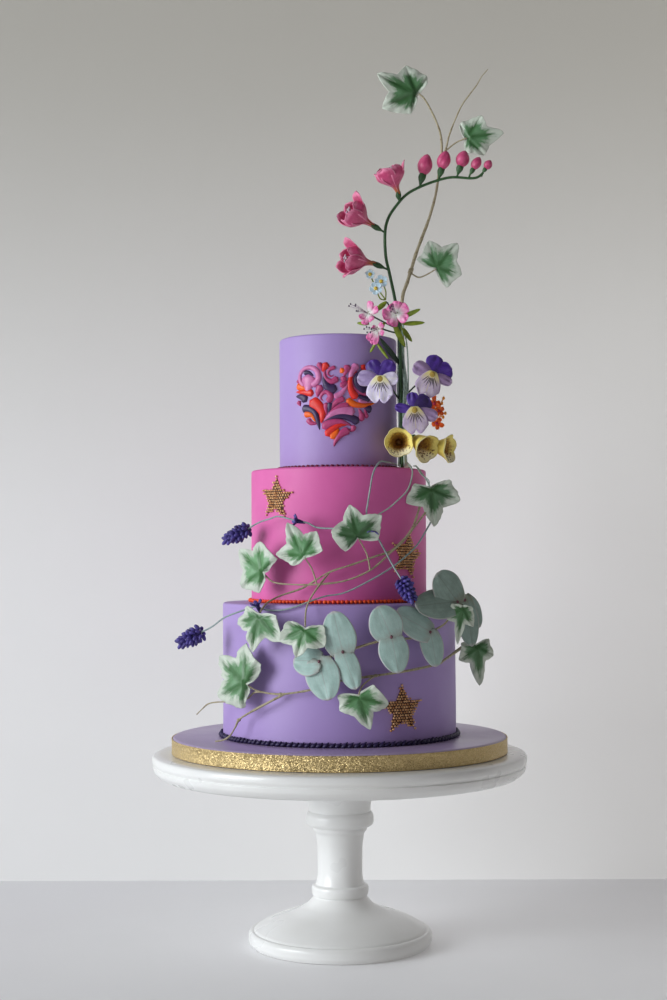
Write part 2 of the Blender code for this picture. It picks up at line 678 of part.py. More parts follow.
TWIG_UPPER_1 = [(71, -50, 392), (66, -57, 378), (60, -63, 369), (46, -74, 356), (32, -81, 351), (12, -86, 344),
                (-9, -87, 337), (-31, -81, 324), (-51, -81, 317), (-62, -93, 311), (-67, -103.5, 304)]
TWIG_UPPER_2 = [(74, -56, 386), (57, -71, 365), (46, -79, 355), (27, -88, 339), (5, -91.5, 330), (-19, -90, 327),
                (-42, -84, 327), (-57, -77, 329), (-65, -76, 336)]
TO_IVY_9 = [(-9, -87, 336), (-14, -97, 330), (-20, -104, 322), (-25, -109, 314), (-28, -113, 305),
            (-28.5, -119.5, 293)]
TO_IVY_5 = [(-19, -90, 327), (-23, -92, 340), (-29, -96.5, 349)]
TO_IVY_7 = [(27, -88, 339), (24, -93, 353), (17, -99.5, 364)]
TWIG_LOWER = [(110, -28, 269), (93, -64, 261), (84, -76, 257), (57, -98, 253), (31, -109, 250), (1, -113, 246),
              (-21, -111, 239), (-50, -101.5, 234), (-71, -90, 235), (-79, -83, 229), (-89, -77, 226),
              (-106, -62, 224), (-115, -56, 222), (-121, -52, 217), (-126, -50, 212)]
TO_BOARD = [(-46, -102.6, 234.6), (-60, -98, 227), (-79, -86, 216), (-87, -79, 210), (-90, -78, 204),
            (-95, -76, 196), (-101, -72, 192), (-108, -68, 190.4)]
TO_IVY_10 = [(-62, -95, 234.5), (-72, -93, 237), (-80, -92.5, 242)]
TO_IVY_11 = [(31, -109, 250), (25, -116, 247), (19, -121, 242), (16, -123.5, 236)]


def make_twigs():
    place("twig_upper_1", fused([tube(TWIG_UPPER_1, TWIG_RADIUS, 1), tube(TO_IVY_9, BRANCH_RADIUS)]), "twig_tape")
    branches = [tube(route, BRANCH_RADIUS) for route in (TO_IVY_5, TO_IVY_7)]
    place("twig_upper_2", fused([tube(TWIG_UPPER_2, THIN_TWIG_RADIUS, 1)] + branches), "twig_tape")
    branches = [tube(route, BRANCH_RADIUS) for route in (TO_IVY_10, TO_IVY_11)]
    lower = [tube(TWIG_LOWER, TWIG_RADIUS, 1), tube(TO_BOARD, THIN_TWIG_RADIUS, 1)]
    place("twig_lower", fused(lower + branches), "twig_tape")


def lavender_head(base, tip, radius):
    """A spiky head of small petals."""
    length = (Vector(tip) - Vector(base)).length
    profile = [(0, 0, 0), (0.15 * length, 0.6 * radius, 0.3), (0.4 * length, radius, 0.35),
               (0.7 * length, 0.8 * radius, 0.35), (0.9 * length, 0.4 * radius, 0.3), (length, 0, 0)]
    return bloom(base, tip, profile, 4)


LAVENDER_WIRES = [
    [(2, -99, 375), (-8, -96, 375), (-19, -92, 376), (-27, -90, 380), (-37, -86, 382), (-44, -82, 384),
     (-53, -76, 386), (-60, -71, 384), (-70, -62, 381), (-81, -54, 375)],
    [(52, -32, 433), (49, -45, 433), (43, -60, 433.5), (36, -76, 433), (30, -88, 423), (27, -94, 408),
     (25, -96, 396), (24, -96, 387), (28, -95, 377), (34, -93, 366), (40, -91, 355), (47, -91, 342),
     (55, -96, 329)],
    [(79, -57, 377), (67, -70, 359), (48, -85, 343), (28, -94.5, 331), (5, -98, 320), (-12, -99, 317),
     (-27, -104, 312), (-38, -102, 308), (-48, -98.5, 305.5), (-58, -93, 305), (-66, -88.5, 306),
     (-72, -87, 308), (-85, -83, 304), (-100, -75, 298), (-111, -65, 290), (-123, -56, 284)],
]
LAVENDER_HEADS = [    # base, tip and radius
    ((-80, -55, 375.6), (-104, -42, 364), 9),
    ((53, -95, 331), (64, -103, 311), 9.5),
    ((-121, -57, 285), (-144, -44, 273), 10.5),
]
LAVENDER_FLORETS = [(-37, -86, 382), (31.5, -94, 371), (-71, -88, 309)]
FLORET_RADIUS = 3.2
LOOSE_WIRE = [(63.5, -35, 432), (62, -50, 432), (65, -62, 426), (63, -69, 415), (59, -73.5, 407),
              (52, -79, 400), (44, -83, 393), (36, -86.5, 388), (30, -89, 384.5)]
LEAF_WIRE = [(67.6, -34, 431.6), (70, -44, 430.2), (74, -51, 424), (78, -52, 418), (81, -50.6, 413)]


def make_lavender():
    places = zip(LAVENDER_WIRES, LAVENDER_HEADS, LAVENDER_FLORETS)
    for number, (wire, head, floret) in enumerate(places, 1):
        pieces = [tube(wire, WIRE_RADIUS), lavender_head(*head), ball(floret, FLORET_RADIUS)]
        place(f"lavender_{number}", fused(pieces), "lavender_petal")
    place("loose_wire", tube(LOOSE_WIRE, WIRE_RADIUS), "stem_tape")
    place("leaf_wire", tube(LEAF_WIRE, WIRE_RADIUS), "stem_tape")


EUCALYPTUS_STEM = [
    (-20, -118.5, 257), (-15, -118.5, 262), (-5, -119.5, 268), (1, -119.5, 271), (14, -118.5, 274),
    (28, -116.5, 278), (44, -111.5, 281), (60, -103.5, 281), (71, -95.5, 282.5), (79, -89.5, 286),
    (91, -79, 292), (100, -70, 302), (104, -65, 305),
]
EUCALYPTUS_PAIRS = [  # joint, then for each leaf: its tip, its width and the way its face looks
    ((-17, -123, 263), (((-41, -114, 262), 30, (-0.3, -1, 0.5)), ((-9, -128, 230), 26, (-0.2, -1, 0.1)))),
    ((3, -124, 271), (((-3, -128, 307), 27, (-0.1, -1, 0.2)), ((11, -130, 242), 20, (0.1, -1, -0.2)))),
    ((44, -117, 281), (((33, -122, 311), 29, (0.1, -1, 0.3)), ((51, -121, 252), 26, (0.3, -1, -0.2)))),
    ((77, -95, 286), (((50, -113, 304), 24, (0.4, -1, 0.5)), ((83, -102, 255), 19, (0.6, -1, 0.0)))),
    ((101, -76, 310), (((86, -88, 335), 30, (0.4, -1, 0.2)), ((67, -104, 306), 26, (0.5, -1, 0.5)))),
    ((108, -66, 309), (((127, -56, 290), 23, (0.6, -1, 0.3)), ((117, -70, 268), 20, (0.5, -1, -0.2)))),
]
LEAF_CUP = 1.6                # how far a rounded leaf's rim stands above its middle
# Half of a eucalyptus leaf's outline round its middle: angle from the tip, share of the length.
ROUND_HALF = [(0, 0.5), (45, 0.49), (90, 0.5), (135, 0.49)]
LEAF_MIDDLE = 0.52            # where the middle of a rounded leaf lies between its joint and its tip


def make_eucalyptus():
    place("eucalyptus_stem", tube(EUCALYPTUS_STEM, 1.1, 1), "twig_tape")
    for number, (joint, leaves) in enumerate(EUCALYPTUS_PAIRS, 1):
        pieces = [ball(joint, 2.2)]
        for tip, width, face in leaves:
            run = Vector(tip) - Vector(joint)
            centre = Vector(joint) + run * LEAF_MIDDLE - Vector(face).normalized() * LEAF_CUP
            narrowing = 1 - width / run.length
            half = []
            for angle, share in ROUND_HALF:
                slim = 1 - narrowing * math.sin(math.radians(angle)) if angle else 1
                half.append((angle, share * run.length * slim))
            other_half = [(-angle, reach) for angle, reach in half[:0:-1]]
            outline = half + [(180, LEAF_MIDDLE * run.length)] + other_half
            pieces.append(thin_body(centre, face, run, outline, 1.0, wave=0.6, cup=LEAF_CUP, phase=number))
        place(f"eucalyptus_pair_{number}", fused(pieces), "eucalyptus_sugar")


clear_scene()
make_stand()
make_board()
make_tiers()
make_borders()
make_ivy()
make_vine()
make_freesia()
make_small_flowers()
make_violas()
make_orange_cluster()
make_foxgloves()
make_bundle()
make_twigs()
make_lavender()
make_eucalyptus()
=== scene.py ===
"""Three-tier wedding cake with sugar flowers, on its ribboned board and white turned stand.

Sizes are in millimetres and become metres when a mesh is made. The front faces -Y, +Z is up.
"""
import math
import random

import bpy
from mathutils import Matrix, Vector, noise


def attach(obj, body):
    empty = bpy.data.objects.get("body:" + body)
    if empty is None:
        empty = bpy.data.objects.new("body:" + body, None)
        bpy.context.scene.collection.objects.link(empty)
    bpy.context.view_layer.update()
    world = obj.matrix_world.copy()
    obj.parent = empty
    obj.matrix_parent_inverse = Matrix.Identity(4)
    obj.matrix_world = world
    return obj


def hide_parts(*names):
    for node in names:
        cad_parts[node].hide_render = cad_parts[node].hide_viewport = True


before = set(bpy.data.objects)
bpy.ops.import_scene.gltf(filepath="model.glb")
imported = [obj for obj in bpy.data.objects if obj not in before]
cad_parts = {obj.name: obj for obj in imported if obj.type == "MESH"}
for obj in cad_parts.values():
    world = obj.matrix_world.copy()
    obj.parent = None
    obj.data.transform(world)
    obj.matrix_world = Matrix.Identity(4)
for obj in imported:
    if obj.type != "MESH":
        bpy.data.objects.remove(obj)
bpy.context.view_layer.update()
MM = 0.001
UP = Vector((0, 0, 1))

# Sizes of the cake and its stand, as in the solids
PLATE_TOP = 173.7
BOARD_RADIUS = 151.6
BOARD_TOP = 189.0
BOTTOM_RADIUS = 105.9
MIDDLE_RADIUS = 79.9
TOP_RADIUS = 53.7
BOTTOM_TOP = 310.0
MIDDLE_TOP = 429.5
TOP_TOP = 549.0
PURPLE, PURPLE_DEEP = (0.40, 0.28, 0.60), (0.36, 0.245, 0.55)
PINK, PINK_DEEP = (0.71, 0.13, 0.40), (0.65, 0.10, 0.35)


# Shader node groups that several finishes share

def new_group(name, inputs, outputs):
    """A shader node group with named sockets: (label, kind, value) in, (label, kind) out."""
    tree = bpy.data.node_groups.new(name, "ShaderNodeTree")
    for label, kind, value in inputs:
        made = tree.interface.new_socket(label, in_out="INPUT", socket_type="NodeSocket" + kind)
        if value is not None:
            made.default_value = value
    for label, kind in outputs:
        tree.interface.new_socket(label, in_out="OUTPUT", socket_type="NodeSocket" + kind)
    return tree, tree.nodes.new("NodeGroupInput"), tree.nodes.new("NodeGroupOutput")


def noise_node(tree, vector, scale, detail=3.0, roughness=0.5):
    made = tree.nodes.new("ShaderNodeTexNoise")
    made.inputs["Detail"].default_value = detail
    made.inputs["Roughness"].default_value = roughness
    tree.links.new(vector, made.inputs["Vector"])
    if isinstance(scale, (int, float)):
        made.inputs["Scale"].default_value = scale
    else:
        tree.links.new(scale, made.inputs["Scale"])
    return made.outputs["Fac"]


def math_node(tree, operation, first, second, clamp=False):
    made = tree.nodes.new("ShaderNodeMath")
    made.operation = operation
    made.use_clamp = clamp
    for socket, value in zip(made.inputs, (first, second)):
        if isinstance(value, (int, float)):
            socket.default_value = value
        else:
            tree.links.new(value, socket)
    return made.outputs[0]


def mix_node(tree, factor, first, second):
    made = tree.nodes.new("ShaderNodeMix")
    made.data_type = "RGBA"
    for socket, value in ((made.inputs[0], factor), (made.inputs[6], first), (made.inputs[7], second)):
        if isinstance(value, (int, float)):
            socket.default_value = value
        elif isinstance(value, tuple):
            socket.default_value = (*value, 1.0)
        else:
            tree.links.new(value, socket)
    return made.outputs[2]


def vector_node(tree, operation, *values):
    made = tree.nodes.new("ShaderNodeVectorMath")
    made.operation = operation
    for socket, value in zip(made.inputs, values):
        if isinstance(value, tuple):
            socket.default_value = value
        else:
            tree.links.new(value, socket)
    return made.outputs[0]


def step_node(tree, value, low, high):
    """0 below low, 1 above high, smooth between."""
    made = tree.nodes.new("ShaderNodeMapRange")
    made.interpolation_type = "SMOOTHSTEP"
    made.inputs["From Min"].default_value = low
    made.inputs["From Max"].default_value = high
    tree.links.new(value, made.inputs["Value"])
    return made.outputs["Result"]


def build_sugar_group():
    """Rolled sugar paste: soft patches of a second tone and a fine dry grain."""
    tree, start, end = new_group("sugar_paste", [
        ("Vector", "Vector", None), ("Tone", "Color", (0.5, 0.5, 0.5, 1)),
        ("Second Tone", "Color", (0.4, 0.4, 0.4, 1)), ("Patch Scale", "Float", 40.0),
        ("Patch Amount", "Float", 0.5), ("Grain Scale", "Float", 1200.0)],
        [("Colour", "Color"), ("Height", "Float"), ("Patch", "Float")])
    vector = start.outputs["Vector"]
    patch = step_node(tree, noise_node(tree, vector, start.outputs["Patch Scale"], 4.0, 0.6), 0.32, 0.7)
    share = math_node(tree, "MULTIPLY", patch, start.outputs["Patch Amount"])
    tree.links.new(mix_node(tree, share, start.outputs["Tone"], start.outputs["Second Tone"]),
                   end.inputs["Colour"])
    grain = noise_node(tree, vector, start.outputs["Grain Scale"], 2.0, 0.6)
    soft = math_node(tree, "MULTIPLY", patch, 0.6)
    tree.links.new(math_node(tree, "ADD", grain, soft), end.inputs["Height"])
    tree.links.new(patch, end.inputs["Patch"])
    return tree


def build_fibre_group():
    """Floral paper tape: fine ridges round a stem, with seams of a second tone; on the dark green tape that
    tone is lighter and is painted highlight.
    """
    tree, start, end = new_group("paper_tape", [
        ("Vector", "Vector", None), ("Tone", "Color", (0.2, 0.3, 0.2, 1)),
        ("Seam Tone", "Color", (0.1, 0.1, 0.05, 1)), ("Ridge Scale", "Float", 500.0)],
        [("Colour", "Color"), ("Height", "Float")])
    vector = start.outputs["Vector"]
    ridge = noise_node(tree, vector, start.outputs["Ridge Scale"], 4.0, 0.7)
    patch = noise_node(tree, vector, 110.0, 3.0, 0.6)
    share = math_node(tree, "MULTIPLY", step_node(tree, ridge, 0.4, 0.75), step_node(tree, patch, 0.3, 0.6))
    tree.links.new(mix_node(tree, share, start.outputs["Tone"], start.outputs["Seam Tone"]),
                   end.inputs["Colour"])
    tree.links.new(ridge, end.inputs["Height"])
    return tree


def build_mask_group():
    """A mask that fades with an attribute and is broken up by noise, for margins and dusted petals."""
    tree, start, end = new_group("dusted_edge", [
        ("Vector", "Vector", None), ("Reach", "Float", 0.0), ("Threshold", "Float", 0.5),
        ("Softness", "Float", 0.2), ("Break Up", "Float", 0.3), ("Scale", "Float", 120.0)],
        [("Mask", "Float")])
    grain = noise_node(tree, start.outputs["Vector"], start.outputs["Scale"], 4.0, 0.6)
    centred = math_node(tree, "SUBTRACT", grain, 0.5)
    push = math_node(tree, "MULTIPLY", centred, start.outputs["Break Up"])
    reach = math_node(tree, "ADD", start.outputs["Reach"], push)
    over = math_node(tree, "SUBTRACT", reach, start.outputs["Threshold"])
    ratio = math_node(tree, "DIVIDE", over, start.outputs["Softness"])
    tree.links.new(math_node(tree, "ADD", ratio, 0.5, True), end.inputs["Mask"])
    return tree


GROUPS = {"sugar": build_sugar_group(), "tape": build_fibre_group(), "edge": build_mask_group()}


class Finish:
    """A material being made: its node tree, its shader, and the object's own coordinates."""

    def __init__(self, name, roughness=0.5, metallic=0.0, **fixed):
        self.material = bpy.data.materials.new(name)
        self.material.use_nodes = True
        self.tree = self.material.node_tree
        self.shader = self.tree.nodes["Principled BSDF"]
        self.shader.inputs["Roughness"].default_value = roughness
        self.shader.inputs["Metallic"].default_value = metallic
        for label, value in fixed.items():
            self.shader.inputs[label.replace("_", " ")].default_value = value
        self.vector = self.tree.nodes.new("ShaderNodeTexCoord").outputs["Object"]

    def use(self, group, **values):
        """Place a shared group, with its values, and return its outputs."""
        made = self.tree.nodes.new("ShaderNodeGroup")
        made.node_tree = GROUPS[group]
        self.tree.links.new(self.vector, made.inputs["Vector"])
        for label, value in values.items():
            socket = made.inputs[label.replace("_", " ")]
            if isinstance(value, (int, float)):
                socket.default_value = value
            elif isinstance(value, tuple):
                socket.default_value = (*value, 1.0)
            else:
                self.tree.links.new(value, socket)
        return made.outputs

    def mask(self, name):
        made = self.tree.nodes.new("ShaderNodeAttribute")
        made.attribute_name = name
        return made.outputs["Fac"]

    def strokes(self, across, along, seed=0.0):
        """Coordinates that draw noise out into strokes along a leaf or petal."""
        made = self.tree.nodes.new("ShaderNodeCombineXYZ")
        for socket, name, scale in zip(made.inputs, ("rim", "along"), (across, along)):
            self.tree.links.new(math_node(self.tree, "MULTIPLY", self.mask(name), scale), socket)
        made.inputs[2].default_value = seed
        return made.outputs[0]

    def colour(self, source):
        self.tree.links.new(source, self.shader.inputs["Base Color"])

    def bump(self, height, strength, distance=0.0005):
        made = self.tree.nodes.new("ShaderNodeBump")
        made.inputs["Strength"].default_value = strength
        made.inputs["Distance"].default_value = distance
        self.tree.links.new(height, made.inputs["Height"])
        self.tree.links.new(made.outputs["Normal"], self.shader.inputs["Normal"])

    def roughness(self, source, low, high):
        made = self.tree.nodes.new("ShaderNodeMapRange")
        made.inputs["To Min"].default_value = low
        made.inputs["To Max"].default_value = high
        self.tree.links.new(source, made.inputs["Value"])
        self.tree.links.new(made.outputs["Result"], self.shader.inputs["Roughness"])


def sugar_finish(name, tone, second, roughness=0.55, patch_scale=30.0, patch=0.5, grain=1500.0,
                 bump=0.12):
    """Icing or sugar paste: a tone with soft patches of a second one, and a fine grain."""
    made = Finish(name, roughness)
    outs = made.use("sugar", Tone=tone, Second_Tone=second, Patch_Scale=patch_scale, Patch_Amount=patch,
                    Grain_Scale=grain)
    made.colour(outs["Colour"])
    made.bump(outs["Height"], bump, 0.0003)
    made.roughness(outs["Patch"], roughness - 0.05, roughness + 0.07)
    return made.material


def paint_finish():
    """Satin white paint over turned wood: a faint grain and soft patches of slight yellowing."""
    made = Finish("white_satin_paint", 0.3, Coat_Weight=0.25, Coat_Roughness=0.15)
    outs = made.use("sugar", Tone=(0.83, 0.83, 0.82), Second_Tone=(0.77, 0.76, 0.73), Patch_Scale=9.0,
                    Patch_Amount=0.45, Grain_Scale=420.0)
    made.colour(outs["Colour"])
    made.bump(outs["Height"], 0.05, 0.0004)
    made.roughness(outs["Patch"], 0.26, 0.4)
    return made.material


def glitter_finish():
    """Gold glitter ribbon: each flake tilts its own way."""
    made = Finish("gold_glitter_ribbon", 0.46, 0.8)
    tree = made.tree
    flakes = tree.nodes.new("ShaderNodeTexVoronoi")
    flakes.inputs["Scale"].default_value = 1650.0
    tree.links.new(made.vector, flakes.inputs["Vector"])
    outs = made.use("sugar", Tone=(0.76, 0.59, 0.31), Second_Tone=(0.46, 0.33, 0.13), Patch_Scale=1100.0,
                    Patch_Amount=0.9, Grain_Scale=2500.0)
    made.colour(outs["Colour"])
    tilt = vector_node(tree, "SUBTRACT", flakes.outputs["Color"], (0.5, 0.5, 0.5))
    facing = tree.nodes.new("ShaderNodeNewGeometry").outputs["Normal"]
    unit = vector_node(tree, "NORMALIZE", vector_node(tree, "ADD", tilt, facing))
    tree.links.new(unit, made.shader.inputs["Normal"])
    return made.material


def tape_finish(name, tone, seam, roughness=0.6, ridge=500.0, bump=0.6):
    """Florist's tape wound round a wire: its own tone, and a second one at the seams, which on the dark
    green tape is lighter and is painted highlight.
    """
    made = Finish(name, roughness)
    outs = made.use("tape", Tone=tone, Seam_Tone=seam, Ridge_Scale=ridge)
    made.colour(outs["Colour"])
    made.bump(outs["Height"], bump, 0.0004)
    return made.material


# Shapes: points with three masks each, which the finishes read

MASKS = ("along", "rim", "spot")
NO_MASKS = (0.0, 0.0, 0.0)


class Shape:
    """A mesh being gathered from grids. A point may carry the masks along, rim and spot."""

    def __init__(self):
        self.points = []
        self.masks = []
        self.faces = []
        self.kinds = []

    def point(self, place, masks=NO_MASKS):
        self.points.append(Vector(place))
        self.masks.append(masks)
        return len(self.points) - 1

    def face(self, corners, kind=0):
        self.faces.append(tuple(corners))
        self.kinds.append(kind)

    def grid(self, rows, wrap=False, masks=None, kind=0, flip=False):
        """Quads through rows of places. wrap joins each row's last place to its first."""
        numbers = []
        for r, row in enumerate(rows):
            numbers.append([self.point(p, masks[r][c] if masks else NO_MASKS) for c, p in enumerate(row)])
        width = len(rows[0])
        for low, high in zip(numbers, numbers[1:]):
            for c in range(width if wrap else width - 1):
                d = (c + 1) % width
                corners = (low[c], low[d], high[d], high[c])
                self.face(corners[::-1] if flip else corners, kind)
        return numbers

    def cap(self, ring, place, masks=NO_MASKS, kind=0, flip=False):
        middle = self.point(place, masks)
        for a, b in zip(ring, ring[1:] + ring[:1]):
            self.face((b, a, middle) if flip else (a, b, middle), kind)

    def sheet(self, rows, thickness, masks=None, kind=0, wrap=False, centre=False):
        """A thin closed sheet through a grid of places. With centre, its first row closes to a point."""
        height, width = len(rows), len(rows[0])
        half = thickness / 2
        front, back = [], []
        for r in range(height):
            front.append([])
            back.append([])
            for c in range(width):
                left = rows[r][(c - 1) % width if wrap else max(c - 1, 0)]
                right = rows[r][(c + 1) % width if wrap else min(c + 1, width - 1)]
                down, over = rows[max(r - 1, 0)][c], rows[min(r + 1, height - 1)][c]
                normal = (right - left).cross(over - down)
                if normal.length < 1e-9:
                    normal = Vector((0, -1, 0))
                normal.normalize()
                front[-1].append(rows[r][c] + normal * half)
                back[-1].append(rows[r][c] - normal * half)
        a = self.grid(front, wrap, masks, kind)
        b = self.grid(back, wrap, masks, kind, True)
        for r in range(height - 1):
            if not wrap:
                self.face((a[r][0], a[r + 1][0], b[r + 1][0], b[r][0]), kind)
                self.face((a[r + 1][-1], a[r][-1], b[r][-1], b[r + 1][-1]), kind)
        for c in range(width if wrap else width - 1):
            d = (c + 1) % width
            if not centre:
                self.face((a[0][d], a[0][c], b[0][c], b[0][d]), kind)
            self.face((a[-1][c], a[-1][d], b[-1][d], b[-1][c]), kind)
        if centre:
            mark = masks[0][0] if masks else NO_MASKS
            self.cap(a[0], sum(front[0], Vector()) / width, mark, kind, True)
            self.cap(b[0], sum(back[0], Vector()) / width, mark, kind)

    def tube(self, path, radius, sides=8, masks=None, kind=0):
        """A closed tube along a path. radius is one number or one for each point."""
        radii = radius if isinstance(radius, list) else [radius] * len(path)
        rows = []
        side = None
        for i, spot in enumerate(path):
            ahead = (path[min(i + 1, len(path) - 1)] - path[max(i - 1, 0)]).normalized()
            if side is None:
                side = ahead.orthogonal().normalized()
            side = (side - ahead * side.dot(ahead)).normalized()
            other = ahead.cross(side)
            rows.append([spot + (side * math.cos(t) + other * math.sin(t)) * radii[i]
                         for t in (2 * math.pi * k / sides for k in range(sides))])
        marks = None
        if masks is not None:
            marks = [[masks(i / (len(path) - 1))] * sides for i in range(len(path))]
        rings = self.grid(rows, True, marks, kind)
        first = marks[0][0] if marks else NO_MASKS
        last = marks[-1][0] if marks else NO_MASKS
        self.cap(rings[0], path[0], first, kind, True)
        self.cap(rings[-1], path[-1], last, kind)

    def ball(self, centre, radii, turn=None, segments=10, rings=6, kind=0, masks=NO_MASKS):
        """An ellipsoid. turn is a matrix that sets the directions of its three radii."""
        frame_of = turn or Matrix.Identity(3)
        rows = []
        for r in range(1, rings):
            polar = math.pi * r / rings
            level = -radii[2] * math.cos(polar)
            row = []
            for k in range(segments):
                t = 2 * math.pi * k / segments
                row.append(centre + frame_of @ Vector((
                    radii[0] * math.sin(polar) * math.cos(t), radii[1] * math.sin(polar) * math.sin(t),
                    level)))
            rows.append(row)
        marks = [[masks] * segments for _ in rows]
        made = self.grid(rows, True, marks, kind)
        self.cap(made[0], centre - frame_of @ Vector((0, 0, radii[2])), masks, kind, True)
        self.cap(made[-1], centre + frame_of @ Vector((0, 0, radii[2])), masks, kind)

    def piece(self, name, finishes, slot, nodes):
        """Make the object. nodes are the solids that it stands for."""
        mesh = bpy.data.meshes.new(name)
        mesh.from_pydata([p * MM for p in self.points], [], self.faces)
        for finish in finishes if isinstance(finishes, list) else [finishes]:
            mesh.materials.append(finish)
        mesh.polygons.foreach_set("material_index", self.kinds)
        for k, label in enumerate(MASKS):
            values = [m[k] for m in self.masks]
            if any(values):
                mesh.attributes.new(label, "FLOAT", "POINT").data.foreach_set("value", values)
        mesh.shade_smooth()
        made = bpy.data.objects.new(name, mesh)
        bpy.context.scene.collection.objects.link(made)
        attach(made, "root")
        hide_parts(*nodes)


def between(before, here, after, last, t):
    """The value at t, from 0 to 1, on a smooth curve from here to after."""
    return 0.5 * (2 * here + (after - before) * t
                  + (2 * before - 5 * here + 4 * after - last) * t * t
                  + (3 * here - before - 3 * after + last) * t ** 3)


def smooth_path(keys, steps=6):
    """A smooth curve through given places, as Vectors."""
    spots = [Vector(k) for k in keys]
    path = []
    for i in range(len(spots) - 1):
        before, last = spots[max(i - 1, 0)], spots[min(i + 2, len(spots) - 1)]
        for k in range(steps):
            path.append(between(before, spots[i], spots[i + 1], last, k / steps))
    path.append(spots[-1])
    return path


def smooth_value(keys, t):
    """A smooth value through evenly spaced keys, for t from 0 to 1."""
    count = len(keys) - 1
    i = min(int(t * count), count - 1)
    return between(keys[max(i - 1, 0)], keys[i], keys[i + 1], keys[min(i + 2, count)], t * count - i)


def on_wall(wall, lift, sideways, height):
    """A place off a round wall: distance round it from the front, measured on the wall, and height."""
    turn = sideways / wall
    return Vector(((wall + lift) * math.sin(turn), -(wall + lift) * math.cos(turn), height))


def facing_frame(face, tip):
    """Unit axes of a flat piece: across, along its tip, and out of its face."""
    along = Vector(tip).normalized()
    out = (Vector(face) - along * Vector(face).dot(along)).normalized()
    return along.cross(out), along, out


def round_axis(axes, turn):
    """The direction at a turn about an axis, from two unit directions square to it."""
    return axes[0] * math.cos(turn) + axes[1] * math.sin(turn)


# Turned pieces

def turned(name, profile, finish, slot, nodes, segments=160, wobble=0.0):
    """A turned solid from a profile that runs down its outer side. wobble makes its side waver."""
    shape = Shape()
    rows = []
    for radius, height in profile[1:-1]:
        row = []
        for k in range(segments):
            t = -2 * math.pi * k / segments
            swell = wobble * noise.noise(Vector((math.cos(t) * 1.3, math.sin(t) * 1.3, height * 0.02)))
            row.append(Vector(((radius + swell) * math.cos(t), (radius + swell) * math.sin(t), height)))
        rows.append(row)
    rings = shape.grid(rows, True)
    shape.cap(rings[0], Vector((0, 0, profile[0][1])), flip=True)
    shape.cap(rings[-1], Vector((0, 0, profile[-1][1])))
    shape.piece(name, finish, slot, nodes)


def rounded(keys, radius, steps=5):
    """A profile with its inner corners rounded: each key is (r, z) or (r, z, its own radius)."""
    spots = [Vector((k[0], k[1])) for k in keys]
    sizes = [k[2] if len(k) > 2 else radius for k in keys]
    made = [tuple(spots[0])]
    for before, here, after, size in zip(spots, spots[1:], spots[2:], sizes[1:-1]):
        to_before, to_after = before - here, after - here
        reach = min(size, 0.48 * to_before.length, 0.48 * to_after.length)
        start, end = here + to_before.normalized() * reach, here + to_after.normalized() * reach
        for k in range(steps + 1):
            t = k / steps
            made.append(tuple(start * (1 - t) ** 2 + here * 2 * t * (1 - t) + end * t * t))
    made.append(tuple(spots[-1]))
    return made


STAND_PROFILE = [
    (0, 150.7), (46, 150.7, 0.5), (46, 146, 0.5), (33, 141, 4), (28.3, 127, 3), (28, 119.6, 0.6),
    (29, 119, 0.4), (30.8, 116, 2), (30.8, 108.5, 2.2), (28, 106.2, 0.5), (24.8, 105.8, 0.5),
    (24.5, 102.6, 0.8), (22.3, 100, 1.5), (20.6, 90, 8), (20.2, 62, 8), (21.9, 54, 0.8), (22.6, 53.4, 0.3),
    (25.6, 52.6, 1.4), (26, 48.5, 2), (25.2, 44, 1.2), (23.9, 43.4, 0.4), (24.9, 41.6, 1.2), (30.5, 35, 5),
    (42, 29.5, 8), (57, 24.8, 8), (69, 19.6, 6), (77.2, 14.6, 1.5),
    (78.4, 13.0, 0.3), (80.6, 13.1, 0.8), (83.2, 10.5, 2), (83, 3.6, 1.5), (80.2, 0, 1), (0, 0),
]
PLATE_PROFILE = [
    (0, 173.7), (163.5, 173.7, 2), (168.8, 172.4, 1.6), (170, 169.6, 1.6), (169.9, 166.2, 1),
    (168.6, 164.4, 0.5), (168.2, 163.4, 0.3), (169.3, 162.6, 0.8), (168.4, 158.4, 3), (163.4, 153.2, 3),
    (154, 151, 3), (60, 151, 1), (0, 151),
]


def make_stand(paint):
    turned("turned_pedestal", rounded(STAND_PROFILE, 1.0), paint, "white_paint", ["stand_pedestal"])
    turned("turned_plate", rounded(PLATE_PROFILE, 1.0), paint, "white_paint", ["stand_plate"], 220)


def make_board(icing, glitter):
    low = PLATE_TOP + 0.3
    edge = [(0, BOARD_TOP - 0.3), (BOARD_RADIUS, BOARD_TOP - 0.3, 3.0), (BOARD_RADIUS, low, 0.6), (0, low)]
    turned("iced_board", rounded(edge, 1.0, 6), icing, "board_icing", ["cake_board"], 220, 0.25)
    shape = Shape()
    rows = []
    ribbon_low, ribbon_high = low + 0.1, BOARD_TOP - 1.4
    selvedge = 0.7
    section = [(0.2, ribbon_high), (0.75, ribbon_high),
               (0.95, ribbon_high - selvedge), (0.72, ribbon_high - 1.4 * selvedge),
               (0.72, ribbon_low + 1.4 * selvedge), (0.95, ribbon_low + selvedge), (0.75, ribbon_low),
               (0.2, ribbon_low)]
    segments = 240
    for k in range(segments):
        t = 2 * math.pi * k / segments
        row = []
        for lift, height in section:
            ripple = 0.12 * noise.noise(Vector((math.cos(t) * 9, math.sin(t) * 9, height * 0.2)))
            reach = BOARD_RADIUS + lift + (ripple if lift > 0.3 else 0)
            row.append(Vector((reach * math.cos(t), reach * math.sin(t), height)))
        rows.append(row)
    shape.grid(rows + rows[:1], True)
    shape.piece("glitter_ribbon", glitter, "gold_ribbon", ["board_ribbon"])


